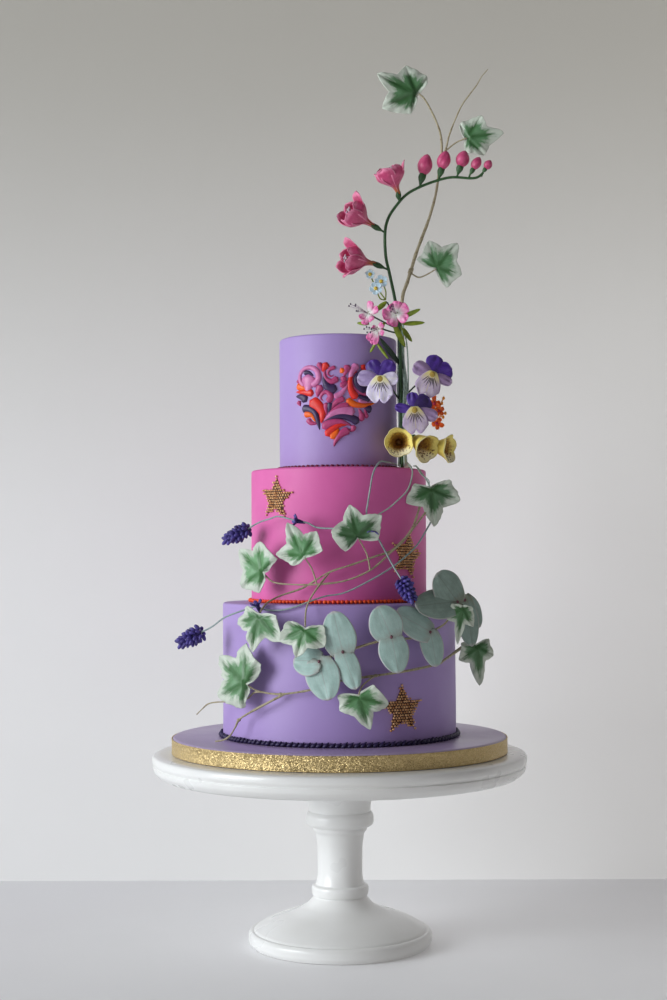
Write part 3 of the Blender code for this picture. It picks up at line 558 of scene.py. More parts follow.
def make_tier(name, radius, low, high, finish, slot, node):
    """One iced tier: straight sides, a soft upper edge, and the slight waver of hand-smoothed icing."""
    side = [(radius, high, 2.6)] + [(radius, high - 10 - k * (high - low - 12) / 6, 1.0) for k in range(6)]
    profile = rounded([(0, high), (radius * 0.6, high, 1.0)] + side + [(radius, low, 0.2), (0, low)], 1.0)
    turned(name, profile, finish, slot, [node], 200, 0.35)


# Piped beads

def bead_ring(name, radius, level, pitch, size, slant, finish, slot, node, seed):
    """A ring of piped beads round the foot of a tier, each laid on the last like a rope."""
    draw = random.Random(seed)
    shape = Shape()
    count = round(2 * math.pi * (radius + 1.5) / pitch)
    for k in range(count):
        t = 2 * math.pi * (k + draw.uniform(-0.08, 0.08)) / count
        reach = radius + 0.42 * size[1] + draw.uniform(-0.15, 0.15)
        centre = Vector((reach * math.cos(t), reach * math.sin(t), level + 0.46 * size[2]))
        lean = slant + draw.uniform(-0.12, 0.12)
        turn = Matrix.Rotation(t + math.pi / 2, 3, "Z") @ Matrix.Rotation(lean, 3, "Y")
        swell = draw.uniform(0.92, 1.06)
        radii = Vector((size[0] / 2, size[1] / 2, size[2] / 2)) * swell
        shape.ball(centre, radii, turn, 12, 7)
        tail = centre + turn @ Vector((radii.x * 0.75, 0, radii.z * 0.35))
        shape.ball(tail, Vector((radii.x * 0.6, radii.y * 0.6, radii.z * 0.45)), turn, 8, 5)
    shape.piece(name, finish, slot, [node])


BEAD_RADIUS = 0.98
BEAD_PITCH = 2.65
BEAD_GAP = 2.15   # least distance between the middles of two beads


def star_beads(shape, wall, side, height, reach, tilt, seed):
    """Gold beads packed close into a five-pointed star on a tier, over a dark brown sheet that is painted
    shade for the gaps between the beads.
    """
    draw = random.Random(seed)
    corners = []
    for k in range(10):
        length = reach if k % 2 == 0 else reach * 0.5
        turn = math.radians(tilt + 36 * k)
        corners.append((length * math.sin(turn), length * math.cos(turn)))

    def edge_distance(x, y):
        """How far inside the star a place is, in millimetres. Outside it is below zero."""
        crossed = False
        nearest = reach
        for (ax, ay), (bx, by) in zip(corners, corners[1:] + corners[:1]):
            if (ay > y) != (by > y) and x < (bx - ax) * (y - ay) / (by - ay) + ax:
                crossed = not crossed
            run = (bx - ax) ** 2 + (by - ay) ** 2
            t = max(0.0, min(1.0, ((x - ax) * (bx - ax) + (y - ay) * (by - ay)) / run))
            nearest = min(nearest, math.hypot(x - ax - t * (bx - ax), y - ay - t * (by - ay)))
        return nearest if crossed else -nearest

    placed = [(x * 0.93, y * 0.93) for x, y in corners[::2]]
    rows = round(2 * reach / BEAD_PITCH) + 2
    for row in range(-rows, rows + 1):
        for column in range(-rows, rows + 1):
            x = (column + 0.5 * (row % 2)) * BEAD_PITCH + draw.uniform(-0.25, 0.25)
            y = row * BEAD_PITCH * 0.87 + draw.uniform(-0.25, 0.25)
            if edge_distance(x, y) > -0.1 and all(math.hypot(x - a, y - b) > BEAD_GAP for a, b in placed):
                placed.append((x, y))
    # The dark brown sheet under the beads is painted shade: it darkens the gaps between them.
    shares = (0.01, 0.3, 0.6, 0.88)
    rows = [[on_wall(wall, 0.1, side + x * share, height + y * share) for x, y in corners]
            for share in shares]
    shape.sheet(rows, 0.3, kind=1, wrap=True, centre=True)
    for x, y in placed:
        size = BEAD_RADIUS * draw.uniform(0.88, 1.1)
        lift = 0.2 + size * draw.uniform(0.75, 1.0)
        spot = on_wall(wall, lift, side + x, height + y)
        shape.ball(spot, (size, size, size), None, 12, 8, masks=(draw.random(), 0.0, 0.0))


def make_stars(beads, painted_gap_shade):
    upper = Shape()
    star_beads(upper, MIDDLE_RADIUS, -60.5, 402.5, 20.5, 4, 3)
    star_beads(upper, MIDDLE_RADIUS, 68, 351.5, 22.5, 13, 4)
    upper.piece("gold_bead_stars_middle", [beads, painted_gap_shade], "gold_ribbon", ["tier_middle"])
    lower = Shape()
    star_beads(lower, BOTTOM_RADIUS, 56.5, 219.5, 22.5, -2, 5)
    lower.piece("gold_bead_star_bottom", [beads, painted_gap_shade], "gold_ribbon", ["tier_bottom"])


def bead_finish():
    """Gold pearl beads, each a little lighter or browner than the next."""
    made = Finish("gold_pearl_beads", 0.34, 0.3)
    made.colour(mix_node(made.tree, made.mask("along"), (0.62, 0.29, 0.11), (0.92, 0.58, 0.30)))
    outs = made.use("sugar", Patch_Scale=600.0)
    made.bump(outs["Height"], 0.15, 0.0002)
    return made.material


# The piped heart on the top tier

HEART_LOW = 448.0
# Strokes of icing: colour, width, then places along it from the fat end, as seen from the front:
# sideways from the tier's middle, and up from the heart's lowest point, in millimetres
HEART_STROKES = [
    ("pink", 13.2, (-26.2, 62), (-26.4, 59), (-26.6, 54), (-26.8, 48.5)),
    ("pink", 4.6, (-30, 55), (-33.2, 59), (-33.8, 64), (-32, 69), (-27, 71.5)),
    ("pink", 5.8, (-22.5, 55.2), (-18.4, 58.4), (-17.2, 63), (-19, 68), (-23.6, 70.8), (-28.8, 70.6),
     (-32.4, 67.4), (-33.8, 62.4), (-32.4, 57.8), (-29.6, 54.6)),
    ("navy", 4.4, (-29.4, 66.2), (-26, 66.4), (-21.6, 63.2)),
    ("berry", 4.8, (-17, 74), (-15.5, 71), (-14, 67)),
    ("red", 6.2, (-10.5, 73.5), (-12, 70), (-13.5, 66.5)),
    ("berry", 5.4, (-1, 60.5), (-5.5, 58), (-10.5, 60.5), (-12, 65.5), (-11, 70)),
    ("berry", 3.4, (-3, 70.5), (-7.5, 68.5), (-9, 65), (-6.5, 62.5), (-3.5, 64)),
    ("orange", 5.4, (4.5, 66.5), (2.5, 70)), ("berry", 6.4, (9, 71), (6.5, 66.5), (5.5, 62.5)),
    ("berry", 5.4, (5, 61.5), (4.5, 56.5)), ("berry", 5.4, (3, 54), (5.5, 55.5), (8.5, 58.5)),
    ("pink", 6.8, (16.5, 72), (13, 68), (11, 62.5), (10, 57)),
    ("pink", 5.4, (-2.5, 44), (3, 47.5), (7, 53), (9.5, 58.5)),
    ("navy", 8.2, (-3, 51), (-8.5, 52.5), (-11.5, 57.5), (-12.5, 64)),
    ("berry", 3.8, (-35.5, 60), (-34, 57)), ("orange", 6.4, (-35.5, 55), (-31.5, 53.5), (-25, 51)),
    ("red", 6.4, (-23, 48), (-29, 49), (-37.5, 50)), ("navy", 7.2, (-29, 42), (-31.5, 45), (-37.5, 46)),
    ("berry", 4.4, (-35, 41), (-33.5, 37)), ("red", 11, (-23, 40), (-17.5, 36), (-14, 30), (-15, 21)),
    ("navy", 7.2, (-30.5, 34.5), (-24.5, 33.5), (-19.5, 28.5), (-16.5, 15)),
    ("orange", 5.8, (-29, 29.5), (-23.5, 28.5), (-20, 22)),
    ("berry", 5, (-26.5, 24.5), (-24, 21.5), (-18, 20.5)),
    ("berry", 6.6, (-15.5, 53.5), (-17.5, 49.5), (-18.5, 44)),
    ("berry", 5.6, (-8.5, 40.5), (-6.5, 44.5), (-9.5, 48.5), (-13.5, 47.5), (-15.5, 43.5), (-13, 40.5)),
    ("berry", 4.8, (-10.5, 38), (-11, 33.5), (-10, 28)), ("navy", 5.6, (-7, 38), (-7.5, 34.5), (-8.5, 30)),
    ("berry", 5.4, (4.5, 42.5), (-1, 40), (-6, 34.5), (-8.5, 29)),
    ("berry", 4.8, (8.5, 37), (2, 36), (-4.5, 32.5), (-9, 27.5)),
    ("pink", 9.2, (12.5, 31), (3.5, 31.5), (-5, 29), (-13, 23)),
    ("navy", 7, (17, 22.5), (7.5, 26.5), (-2.5, 26.5), (-13, 22.5)),
    ("berry", 7.6, (-12.5, 17.5), (-6.5, 21), (3, 22), (12, 18.5)),
    ("red", 6.6, (-10, 11), (-5, 15.5), (1, 19), (9, 19.5)),
    ("berry", 4.8, (13.5, 18), (13, 15.5), (10, 13.5)), ("orange", 6.6, (-5.5, 8.5), (-2, 12), (0.5, 16)),
    ("berry", 6.8, (8.5, 14.5), (3, 11.5), (-2, 5.5), (-4, 0)),
    ("red", 6.8, (15.5, 44), (12, 49.5), (10.5, 56.5), (12, 63.5), (17, 67)),
    ("berry", 3.4, (25.5, 46.5), (19, 48.5), (14, 53), (12.5, 60), (15, 65)),
    ("navy", 11.5, (23.5, 50.5), (19.5, 54.5), (17, 60.5), (18.5, 67)),
    ("navy", 6.2, (27, 42.5), (22, 43.5), (17, 46)), ("pink", 4, (18.5, 41), (23.5, 40), (30, 41)),
    ("orange", 6.2, (8.5, 41), (15, 37.5), (23, 37), (33, 39.5)), ("navy", 6.8, (28.5, 34), (23, 34)),
    ("berry", 5.6, (20.5, 24), (20.5, 28.5), (18, 34)), ("berry", 4.4, (25, 26.5), (24, 30.5), (23.5, 34)),
    ("red", 5.4, (21.5, 71.5), (25.5, 68), (28.5, 62.5)), ("orange", 5, (33, 54), (32.5, 60), (29, 66)),
    ("berry", 5.4, (20.5, 65), (24, 62.5), (27, 58)), ("pink", 5.4, (32, 46), (30.5, 51), (27, 55)),
    ("berry", 4, (36, 47), (36, 52), (34.5, 56)),
]


def drop_width(t, round_end=0.2):
    """How a piped drop swells and runs out to a point, from 0 to 1 along it."""
    if t < round_end:
        return math.sqrt(max(0.0, 1 - (1 - t / round_end) ** 2))
    return max(0.0, 1 - (t - round_end) / (1 - round_end)) ** 0.62


def make_heart(finishes):
    shapes = {}
    sides = 14
    for colour, width, *keys in HEART_STROKES:
        shape = shapes.setdefault(colour, Shape())
        path = smooth_path([(TOP_RADIUS * math.asin(x / TOP_RADIUS), h, 0) for x, h in keys], 9)
        run = sum((b - a).length for a, b in zip(path, path[1:]))
        lead = path[0] - (path[1] - path[0]).normalized() * (0.3 * width)
        path.insert(0, lead)
        blunt = min(0.45, 0.55 * width / (run + 0.3 * width))
        gone = 0.0
        whole = run + 0.3 * width
        rows = []
        for i, spot in enumerate(path):
            if i:
                gone += (spot - path[i - 1]).length
            t = gone / whole
            ahead = (path[min(i + 1, len(path) - 1)] - path[max(i - 1, 0)]).normalized()
            across = Vector((-ahead.y, ahead.x))
            half = max(0.54 * width * drop_width(t, blunt), 0.06)
            row = []
            for k in range(sides):
                turn = 2 * math.pi * k / sides
                reach = half * math.cos(turn)
                rise = (min(half, 2.4) * 0.85 + 0.25) * math.sin(turn)
                row.append(on_wall(TOP_RADIUS, rise, spot.x + across.x * reach,
                                   HEART_LOW + spot.y + across.y * reach))
            rows.append(row)
        rings = shape.grid(rows, True)
        shape.cap(rings[0], rows[0][0].lerp(rows[0][sides // 2], 0.5), flip=True)
        shape.cap(rings[-1], rows[-1][0].lerp(rows[-1][sides // 2], 0.5))
    for colour, shape in shapes.items():
        shape.piece("piped_heart_" + colour, finishes[colour], "lilac_icing", ["tier_top"])


# Leaves

class Leaf:
    """Ivy leaf measurements: base, tip and facing, and its lobes as (turn from the tip, reach share)."""

    def __init__(self, base, tip, face, lobes, green=1.0, cup=-0.06, wave=0.05, curl=0.0, depth=0.57):
        self.base, self.tip, self.face = Vector(base), Vector(tip), Vector(face)
        self.lobes, self.green = lobes, green
        self.cup, self.wave, self.curl, self.depth = cup, wave, curl, depth


IVY_LEAVES = [
    Leaf((73, -11, 775), (37, -15, 793), (-0.1, -1, 0.1),
         ((45, 0.70), (-50, 0.84), (100, 0.46), (-102, 0.46)), 0.7),
    Leaf((119, -11, 734), (153, -12, 739), (0.1, -1, 0.2),
         ((-49, 0.74), (55, 0.68), (-105, 0.46), (103, 0.40)), 0.8),
    Leaf((90, -12, 614), (110, -16, 636), (0.2, -1, 0.1),
         ((62, 0.80), (-58, 0.84), (110, 0.68), (-108, 0.62)), 0.9, depth=0.66),
    Leaf((82, -52, 411), (85, -54, 377), (0.3, -1, 0.1),
         ((64, 0.76), (-64, 0.86), (108, 0.46), (-110, 0.55)), 0.65),
    Leaf((-30, -99, 351), (-44, -95, 380), (-0.35, -1, 0.1),
         ((52, 0.74), (-59, 0.78), (100, 0.52), (-104, 0.38)), 1.1, depth=0.6),
    Leaf((-67, -80, 338), (-91, -58, 358), (-0.8, -1, 0.1),
         ((42, 0.74), (-62, 0.74), (108, 0.48), (-108, 0.48)), 1.15, depth=0.6),
    Leaf((16, -102, 367), (10, -103, 395), (0.1, -1, 0.0),
         ((60, 0.98), (-66, 0.80), (110, 0.62), (-128, 0.55)), 0.55, depth=0.62),
    Leaf((-68, -107, 301), (-75, -101, 269), (-0.6, -1, 0.2),
         ((60, 0.82), (-59, 0.90), (102, 0.52), (-107, 0.52)), 0.85),
    Leaf((-29, -124, 290), (-36, -127, 267), (-0.3, -1, 0.0),
         ((53, 1.02), (-66, 0.92), (102, 0.68), (-118, 0.66)), 0.95, depth=0.66),
    Leaf((-81, -95, 243), (-108, -68, 265), (-0.8, -1, 0.1),
         ((54, 0.78), (-55, 0.76), (100, 0.50), (-110, 0.48)), 0.9, depth=0.6),
    Leaf((16, -126, 234), (26, -126, 206), (0.1, -1, -0.1),
         ((-55, 0.90), (72, 0.66), (-108, 0.52), (112, 0.58)), 0.95, curl=-0.2, depth=0.6),
    Leaf((107, -80, 306.3), (103.2, -80, 274.6), (0.3, -1, 0.0),
         ((52, 0.52), (-40, 0.62), (104, 0.30), (-100, 0.28)), 0.8, depth=0.44),
    Leaf((123, -40, 271), (126, -38, 235), (0.4, -1, 0.0),
         ((58, 0.58), (-58, 0.52), (106, 0.42), (-106, 0.42)), 0.75, depth=0.46),
]


def ivy_outline(leaf, length, number):
    """Round an ivy leaf: its lobes' tips joined by bays, as flat places about the leaf's base."""
    draw = random.Random(number * 17)
    peaks = sorted([(0.0, 1.0)] + [(float(t), r) for t, r in leaf.lobes])
    corners = [(-178.0, 0.05, False)]
    for i, (turn, reach) in enumerate(peaks):
        if i:
            before, last = peaks[i - 1]
            if turn == 0.0 or before == 0.0:
                side = before if turn == 0.0 else turn
                corners.append((side * draw.uniform(0.40, 0.48), leaf.depth + draw.uniform(-0.03, 0.06),
                                False))
            else:
                corners.append(((before + turn) / 2, (reach + last) / 2 * draw.uniform(0.82, 0.94), False))
        corners.append((turn, reach, True))
    corners.append((178.0, 0.05, False))
    spots = []
    for (a, ra, peak_a), (b, rb, _) in zip(corners, corners[1:]):
        start = Vector((math.sin(math.radians(a)) * ra, math.cos(math.radians(a)) * ra))
        end = Vector((math.sin(math.radians(b)) * rb, math.cos(math.radians(b)) * rb))
        side = Vector((end.y - start.y, start.x - end.x))
        middle = start.lerp(end, 0.36 if peak_a else 0.64) - side * (0.10 + draw.uniform(-0.05, 0.10))
        for k in range(7):
            t = k / 7
            spots.append((start * (1 - t) ** 2 + middle * 2 * t * (1 - t) + end * t * t) * length)
    return spots, [Vector((math.sin(math.radians(t)) * r,
                           math.cos(math.radians(t)) * r)) * length for t, r in peaks]


def ivy_leaf(leaf, number):
    shape = Shape()
    across, along, out = facing_frame(leaf.face, leaf.tip - leaf.base)
    length = (leaf.tip - leaf.base).length
    outline, veins = ivy_outline(leaf, length, number)
    centre = Vector((0, 0.1 * length))
    shares = [0.004, 0.09, 0.18, 0.28, 0.38, 0.48, 0.58, 0.68, 0.77, 0.85, 0.92, 0.97, 1.0]
    rows, marks = [], []
    for share in shares:
        row, mark = [], []
        for k, edge in enumerate(outline):
            flat = centre.lerp(edge, share)
            wander = noise.noise(Vector((flat.x * 0.09, flat.y * 0.09, number * 7.3)))
            fine = noise.noise(Vector((edge.x * 0.3, edge.y * 0.3, number * 3.1)))
            flat += (edge - centre).normalized() * (0.9 * fine * share ** 3)
            vein = 0.0
            for tip in veins:
                t = max(0.0, min(1.0, flat.dot(tip) / tip.dot(tip)))
                vein = max(vein,
                           math.exp(-((flat - tip * t).length / (1.25 + 0.05 * length * (1 - t))) ** 2))
            angle = math.atan2(flat.x, flat.y)
            lift = leaf.cup * share ** 2 - 0.055 * vein * share * (1.3 - share) * 1.6
            lift += leaf.wave * math.sin(3 * angle + number * 1.7) * share ** 1.5 + 0.07 * wander * share
            lift += leaf.curl * max(0.0, share - 0.6) ** 2 * (1 if flat.x > 0 else 0.2)
            lift += 0.05 * fine * share ** 4
            row.append(leaf.base + across * flat.x + along * flat.y + out * (lift * length))
            mark.append((share, k / len(outline), vein))
        rows.append(row)
        marks.append(mark)
    shape.sheet(rows, 0.8, marks, wrap=True, centre=True)
    return shape


LEAF_STROKES = 26.0   # how many brush strokes fit round a leaf
MARGIN = (0.56, 0.62, 0.53)


def leaf_finish(name, green, seed):
    """Painted leaf: brushed green middle that is deeper along its veins, and a pale margin."""
    middle, deep_middle, vein_tone = (tuple(green * part for part in tone) for tone in (
        (0.15, 0.33, 0.16), (0.06, 0.19, 0.05), (0.03, 0.13, 0.025)))
    made = Finish(name, 0.42)
    tree = made.tree
    place = made.strokes(LEAF_STROKES, 2.2, seed)
    paste = made.use("sugar", Tone=middle, Second_Tone=deep_middle, Patch_Scale=120.0, Patch_Amount=0.6,
                     Grain_Scale=900.0)
    edge = made.use("edge", Vector=place, Reach=made.mask("along"), Threshold=0.70,
                    Softness=0.26, Break_Up=0.9, Scale=1.0)
    deep = made.use("edge", Vector=place, Reach=made.mask("spot"), Threshold=0.45, Softness=0.9,
                    Break_Up=1.1, Scale=2.0)
    veined = mix_node(tree, math_node(tree, "MULTIPLY", deep["Mask"], 0.75), paste["Colour"], vein_tone)
    made.colour(mix_node(tree, edge["Mask"], veined, MARGIN))
    rise = math_node(tree, "ADD", paste["Height"], math_node(tree, "MULTIPLY", made.mask("spot"), -2.0))
    made.bump(rise, 0.35, 0.0003)
    return made.material


def make_ivy():
    for number, leaf in enumerate(IVY_LEAVES, 1):
        finish = leaf_finish(f"ivy_paint_{number}", leaf.green, number * 3.1)
        ivy_leaf(leaf, number).piece(f"ivy_sugar_leaf_{number}", finish, "ivy_sugar",
                                     [f"ivy_leaf_{number}"])


def petal(shape, base, tip, face, width, bend=0.0, cup=0.0, peak=0.6, notch=0.0, ruffle=0.0, thickness=0.5,
          kind=0, seed=0, neck=0.12, steps=(11, 9), belly=1.0, blunt=2.6, heart=0.0, lobed=0.0):
    """A petal or smooth leaf: a sheet from base to tip, widest at peak, bent along and cupped across.

    heart sets its base corners back behind the joint, and lobed gives it a broad end in two round lobes.
    Gives back a function that finds a place on its front from the shares along and across it.
    """
    base, tip = Vector(base), Vector(tip)
    across, along, out = facing_frame(face, tip - base)
    length = (tip - base).length

    def spot(t, u):
        if t < peak:
            spread = 1 - (t / peak - 1) ** 2 * (1 - neck)
        else:
            spread = 1 - ((t - peak) / (1 - peak)) ** blunt * (1 - lobed ** 2)
        half = width / 2 * max(spread, 0.0) ** (0.5 if t >= peak else belly)
        half = max(half, width * 0.02)
        wander = noise.noise(Vector((u * 1.6, t * 2.5, seed * 3.7)))
        drop = notch * length * (1 - abs(u)) ** 2 * max(0.0, t - 0.6) / 0.4
        drop += heart * length * math.sin(math.pi * min(abs(u), 0.75)) * max(0.0, 1 - t / 0.4) ** 2
        round_off = 0.42 if abs(u) > 0.5 else 0.24
        drop += round_off * lobed * length * abs(2 * abs(u) - 1) ** 2.4 * (max(0.0, t - 0.5) / 0.5) ** 2
        full = min(half / (width / 2), 1)
        lift = bend * t * t + cup * u * u * full + ruffle * wander * t * full
        lift += ruffle * math.sin(u * 7 + seed) * max(0.0, t - 0.5) * full ** 2
        return base + along * (t * length - drop) + across * (u * half) + out * lift

    down, over = steps
    sides = [2 * c / (over - 1) - 1 for c in range(over)]
    rows = [[spot(r / down, u) for u in sides] for r in range(down + 1)]
    marks = [[(r / down, u / 2 + 0.5, max(0.0, 1 - abs(u) * 6)) for u in sides] for r in range(down + 1)]
    shape.sheet(rows, thickness, marks, kind)
    return lambda t, u: spot(t, u) + out * (thickness / 2)


EUCALYPTUS_STEM = [(-20, -118.5, 257), (-15, -118.5, 262), (-5, -119.5, 268), (1, -119.5, 271),
                   (14, -118.5, 274), (28, -116.5, 278), (44, -111.5, 281), (60, -103.5, 281),
                   (71, -95.5, 282.5), (79, -89.5, 286), (91, -79, 292), (100, -70, 302), (106, -63, 306)]
# Joint on the twig, then for each leaf: its tip, its width, the way its face looks, and where it is widest
EUCALYPTUS_PAIRS = [
    ((-17, -122, 263), (((-39, -114, 264), 27, (-0.3, -1, 0.5), 0.4),
                        ((-9, -127, 231), 30, (-0.2, -1, 0.1), 0.36))),
    ((3, -123, 271), (((-5, -127, 305), 29, (-0.1, -1, 0.2), 0.34),
                      ((14, -127, 240), 20, (0.1, -1, -0.2), 0.4))),
    ((44, -117, 283), (((33, -122, 309), 30, (0.1, -1, 0.3), 0.38),
                       ((50, -121, 253), 27, (0.3, -1, -0.2), 0.38))),
    ((78, -95, 286), (((49, -113, 304), 29, (0.4, -1, 0.5), 0.45),
                      ((83, -102, 257), 24, (0.6, -1, 0.0), 0.36))),
    ((103, -74, 311), (((85, -88, 336), 31, (0.4, -1, 0.2), 0.45),
                       ((66, -103, 309), 28, (0.5, -1, 0.5), 0.45))),
    ((111, -53, 312), (((126, -45, 288), 25, (0.6, -1, 0.3), 0.42),
                       ((118, -51, 271), 22, (0.5, -1, -0.2), 0.45))),
]


def make_eucalyptus(twig):
    stem = Shape()
    path = smooth_path(EUCALYPTUS_STEM, 5)
    stem.tube(path, [1.25 - 0.5 * i / len(path) for i in range(len(path))], 8)
    stem.piece("eucalyptus_twig", twig, "twig_tape", ["eucalyptus_stem"])
    # Both finishes have an olive heart at each leaf's base: partly dusting, partly painted shade.
    mint = petal_finish("eucalyptus_mint", (0.33, 0.33, 0.30), (0.42, 0.58, 0.54), (0.33, 0.49, 0.45),
                        (0.52, 0.47, 0.48), 0.07, 0.955, 0.5, 6.0, 0.25, (0.36, 0.40, 0.38))
    # A darker copy for pairs 5 and 6, at the right: partly a greyer green, partly painted shade.
    grey_and_shaded = petal_finish("eucalyptus_grey_painted_shade", (0.22, 0.22, 0.15), (0.27, 0.37, 0.33), (0.20, 0.28, 0.24),
                        (0.40, 0.40, 0.38), 0.07, 0.955, 0.5, 6.0, 0.25, (0.18, 0.22, 0.19))
    joint_finish = sugar_finish("eucalyptus_joint", (0.16, 0.06, 0.08), (0.08, 0.03, 0.04), 0.5, 300, 0.6)
    for number, (joint, leaves) in enumerate(EUCALYPTUS_PAIRS, 1):
        shape = Shape()
        shape.ball(Vector(joint) + Vector((0, -0.8, 0)), (1.3, 1.3, 1.5), kind=1)
        for side, (tip, width, face, peak) in enumerate(leaves):
            petal(shape, joint, tip, face, width, bend=-1.5, cup=-1.4, peak=peak, ruffle=1.4, thickness=0.8,
                  seed=number * 2 + side, neck=0.4, steps=(20, 19), belly=0.55, blunt=1.65, heart=0.12)
        shape.piece(f"eucalyptus_leaves_{number}", [grey_and_shaded if number > 4 else mint, joint_finish],
                    "eucalyptus_sugar", [f"eucalyptus_pair_{number}"])


# Stems, twigs and wires

VINE = [(60, -8, 430.2), (60, -8, 493), (59, -8, 548), (59, -8, 585), (64, -8, 602), (68, -8, 615),
        (72, -8, 628), (78, -8, 644), (84, -8, 660), (90, -8, 681), (93, -8, 700), (96, -8, 722),
        (95, -8, 738), (91, -8, 750), (86, -8, 761), (80, -9, 771), (75.5, -9, 775)]
TENDRIL = [(96, -8, 716), (100, -8, 725), (103, -8, 737), (108, -8, 750), (115, -8, 765), (123, -8, 776),
           (129, -8, 784), (133, -8, 791), (139, -8, 798)]
VINE_SIDE_STEMS = [
    [(99, -8, 722), (109, -8, 730), (119, -10, 734)],
    [(67, -8, 610), (74, -8, 606), (81, -9, 608), (90, -11, 613)],
]
FREESIA_STEM = [(57.5, -28, 430.2), (56.8, -28, 480), (56, -28, 545), (54.5, -30, 562), (52, -31, 580),
                (47, -30, 605), (43.5, -30, 622), (43, -30, 643), (46, -30, 656), (53, -30, 667),
                (62, -30, 677), (74, -30, 684), (90, -30, 690), (104, -30, 693), (120, -30, 692),
                (127, -30, 693), (132, -30, 697)]
BUNDLE_STEMS = [
    [(56, -22, 431), (55.4, -21, 480), (55, -20, 540), (56, -21, 578)],
    [(58.5, -24, 431), (57.6, -23.5, 480), (57.2, -22, 530), (59.5, -24, 562)],
    [(61, -20, 431), (59.6, -20, 480), (58.6, -19, 540), (55, -22, 574)],
]
FLOWER_STALKS = [
    [(57, -21, 490), (46, -40, 503), (38, -57, 506.5)], [(60, -20, 495), (72, -36, 506), (82, -55, 510)],
    [(57, -22, 462), (59, -45, 473), (66.5, -61, 478.5)],
    [(60, -20, 461), (74, -29, 470), (85, -39.5, 476)], [(56, -22, 452), (54.5, -34.5, 453)],
    [(61, -20, 448), (69, -29, 452), (67.6, -38.4, 455.6)],
    [(61, -20, 455), (74, -25, 452), (84.8, -35.4, 449.4)],
    [(56, -21, 556), (41, -30, 562), (31, -36, 566.5)],
    [(57.4, -20.6, 560), (48, -30, 563), (52, -39.5, 566.5)],
    [(57.4, -20.3, 552), (44, -32, 554), (36.5, -47, 555)],
    [(57, -21, 568), (48, -30, 574), (44.5, -34.5, 579)],
]
# Base, tip and width of the pointed green leaves
BLADES = [
    ((57.8, -24, 567), (74, -30, 574), 4.6), ((58, -25, 561), (78, -30, 562), 4.6),
    ((57, -24, 559), (67, -27, 545), 4.4), ((50, -34, 560), (61, -32, 539), 5.4),
    ((58, -23, 522), (38, -44, 546), 5.0), ((44, -33, 580), (33, -38, 571), 4.8),
    ((34, -52, 541), (45, -55, 526), 2.6), ((34, -52, 541), (28, -50, 532), 2.4),
    ((28, -46, 558), (17, -44, 560), 3.6), ((42, -40, 560), (31, -44, 546), 4.4),
]
TWIG_UPPER_1 = [(73.5, -46.5, 399), (71, -50, 392), (66, -57, 378), (60, -63, 369), (46, -74, 356),
                (32, -81, 351), (12, -86, 344), (-9, -87, 337), (-31, -81, 324), (-51, -81, 317),
                (-62, -93, 311), (-67, -103.5, 304)]
TWIG_UPPER_2 = [(78, -52.4, 391), (74, -56, 386), (57, -71, 365), (46, -79, 355), (27, -88, 339),
                (5, -91.5, 330), (-19, -90, 327), (-42, -84, 327), (-57, -77, 329), (-65, -76, 336)]
TO_IVY_9 = [(-9, -87, 336), (-14, -97, 330), (-20, -104, 322), (-25, -109, 314), (-28, -113, 305),
            (-28.5, -121, 292)]
TO_IVY_5 = [(-19, -90, 327), (-23, -92, 340), (-29, -97, 350)]
TO_IVY_7 = [(27, -88, 339), (24, -93, 353), (17, -100, 366)]
TWIG_LOWER = [(110, -28, 269), (93, -64, 261), (84, -76, 257), (57, -98, 253), (31, -109, 250),
              (1, -113, 246), (-21, -111, 239), (-50, -101.5, 234), (-71, -90, 235), (-79, -83, 229),
              (-89, -77, 226), (-106, -62, 224), (-115, -56, 222), (-121, -52, 217), (-126, -50, 212)]
TO_BOARD = [(-46, -102.6, 234.6), (-60, -98, 227), (-79, -86, 216), (-87, -79, 210), (-90, -78, 204),
            (-95, -76, 196), (-101, -72, 192), (-108, -68, 190.4)]
TO_IVY_10 = [(-62, -95, 234.5), (-72, -93, 237), (-80, -93, 242.5)]
TO_IVY_11 = [(31, -109, 250), (25, -116, 247), (19, -121, 242), (16, -125, 235)]
LAVENDER_WIRES = [
    [(2, -99, 375), (-8, -96, 375), (-19, -92, 376), (-27, -90, 380), (-37, -86, 382), (-44, -82, 384),
     (-53, -76, 386), (-60, -71, 384), (-70, -62, 381), (-81, -54, 375)],
    [(52, -32, 433), (49, -45, 433), (43, -60, 433.5), (36, -76, 433), (30, -88, 423), (27, -94, 408),
     (25, -96, 396), (24, -96, 387), (28, -95, 377), (34, -93, 366), (40, -91, 355), (47, -91, 342),
     (55, -96, 329)],
    [(81, -54.6, 380.5), (79, -57, 377), (67, -70, 359), (48, -85, 343), (28, -94.5, 331), (5, -98, 320),
     (-12, -99, 317), (-27, -104, 312), (-38, -102, 308), (-48, -98.5, 305.5), (-58, -93, 305),
     (-66, -88.5, 306), (-72, -87, 308), (-85, -83, 304), (-100, -75, 298), (-111, -65, 290),
     (-123, -56, 284)],
]
LAVENDER_HEADS = [((-80, -55, 375.6), (-104, -42, 364), 8.5), ((53, -95, 331), (64, -103, 311), 9.0),
                  ((-121, -57, 285), (-144, -44, 273), 10.0)]
LAVENDER_FLORETS = [((-35, -89, 381.5), (-1, -0.15, 0.25)), ((30, -97, 373), (-0.25, -0.5, -1)),
                    ((-70, -91, 308.5), (-0.35, -0.2, 0.9))]
LOOSE_WIRE = [(63.5, -35, 432), (62, -50, 432), (65, -62, 426), (63, -69, 415), (59, -73.5, 407),
              (52, -79, 400), (44, -83, 393), (36, -86.5, 388), (30, -89, 384.5)]
LEAF_WIRE = [(67.6, -34, 431.6), (70, -44, 430.2), (74, -51, 424), (78, -52, 418), (81, -51.5, 412)]


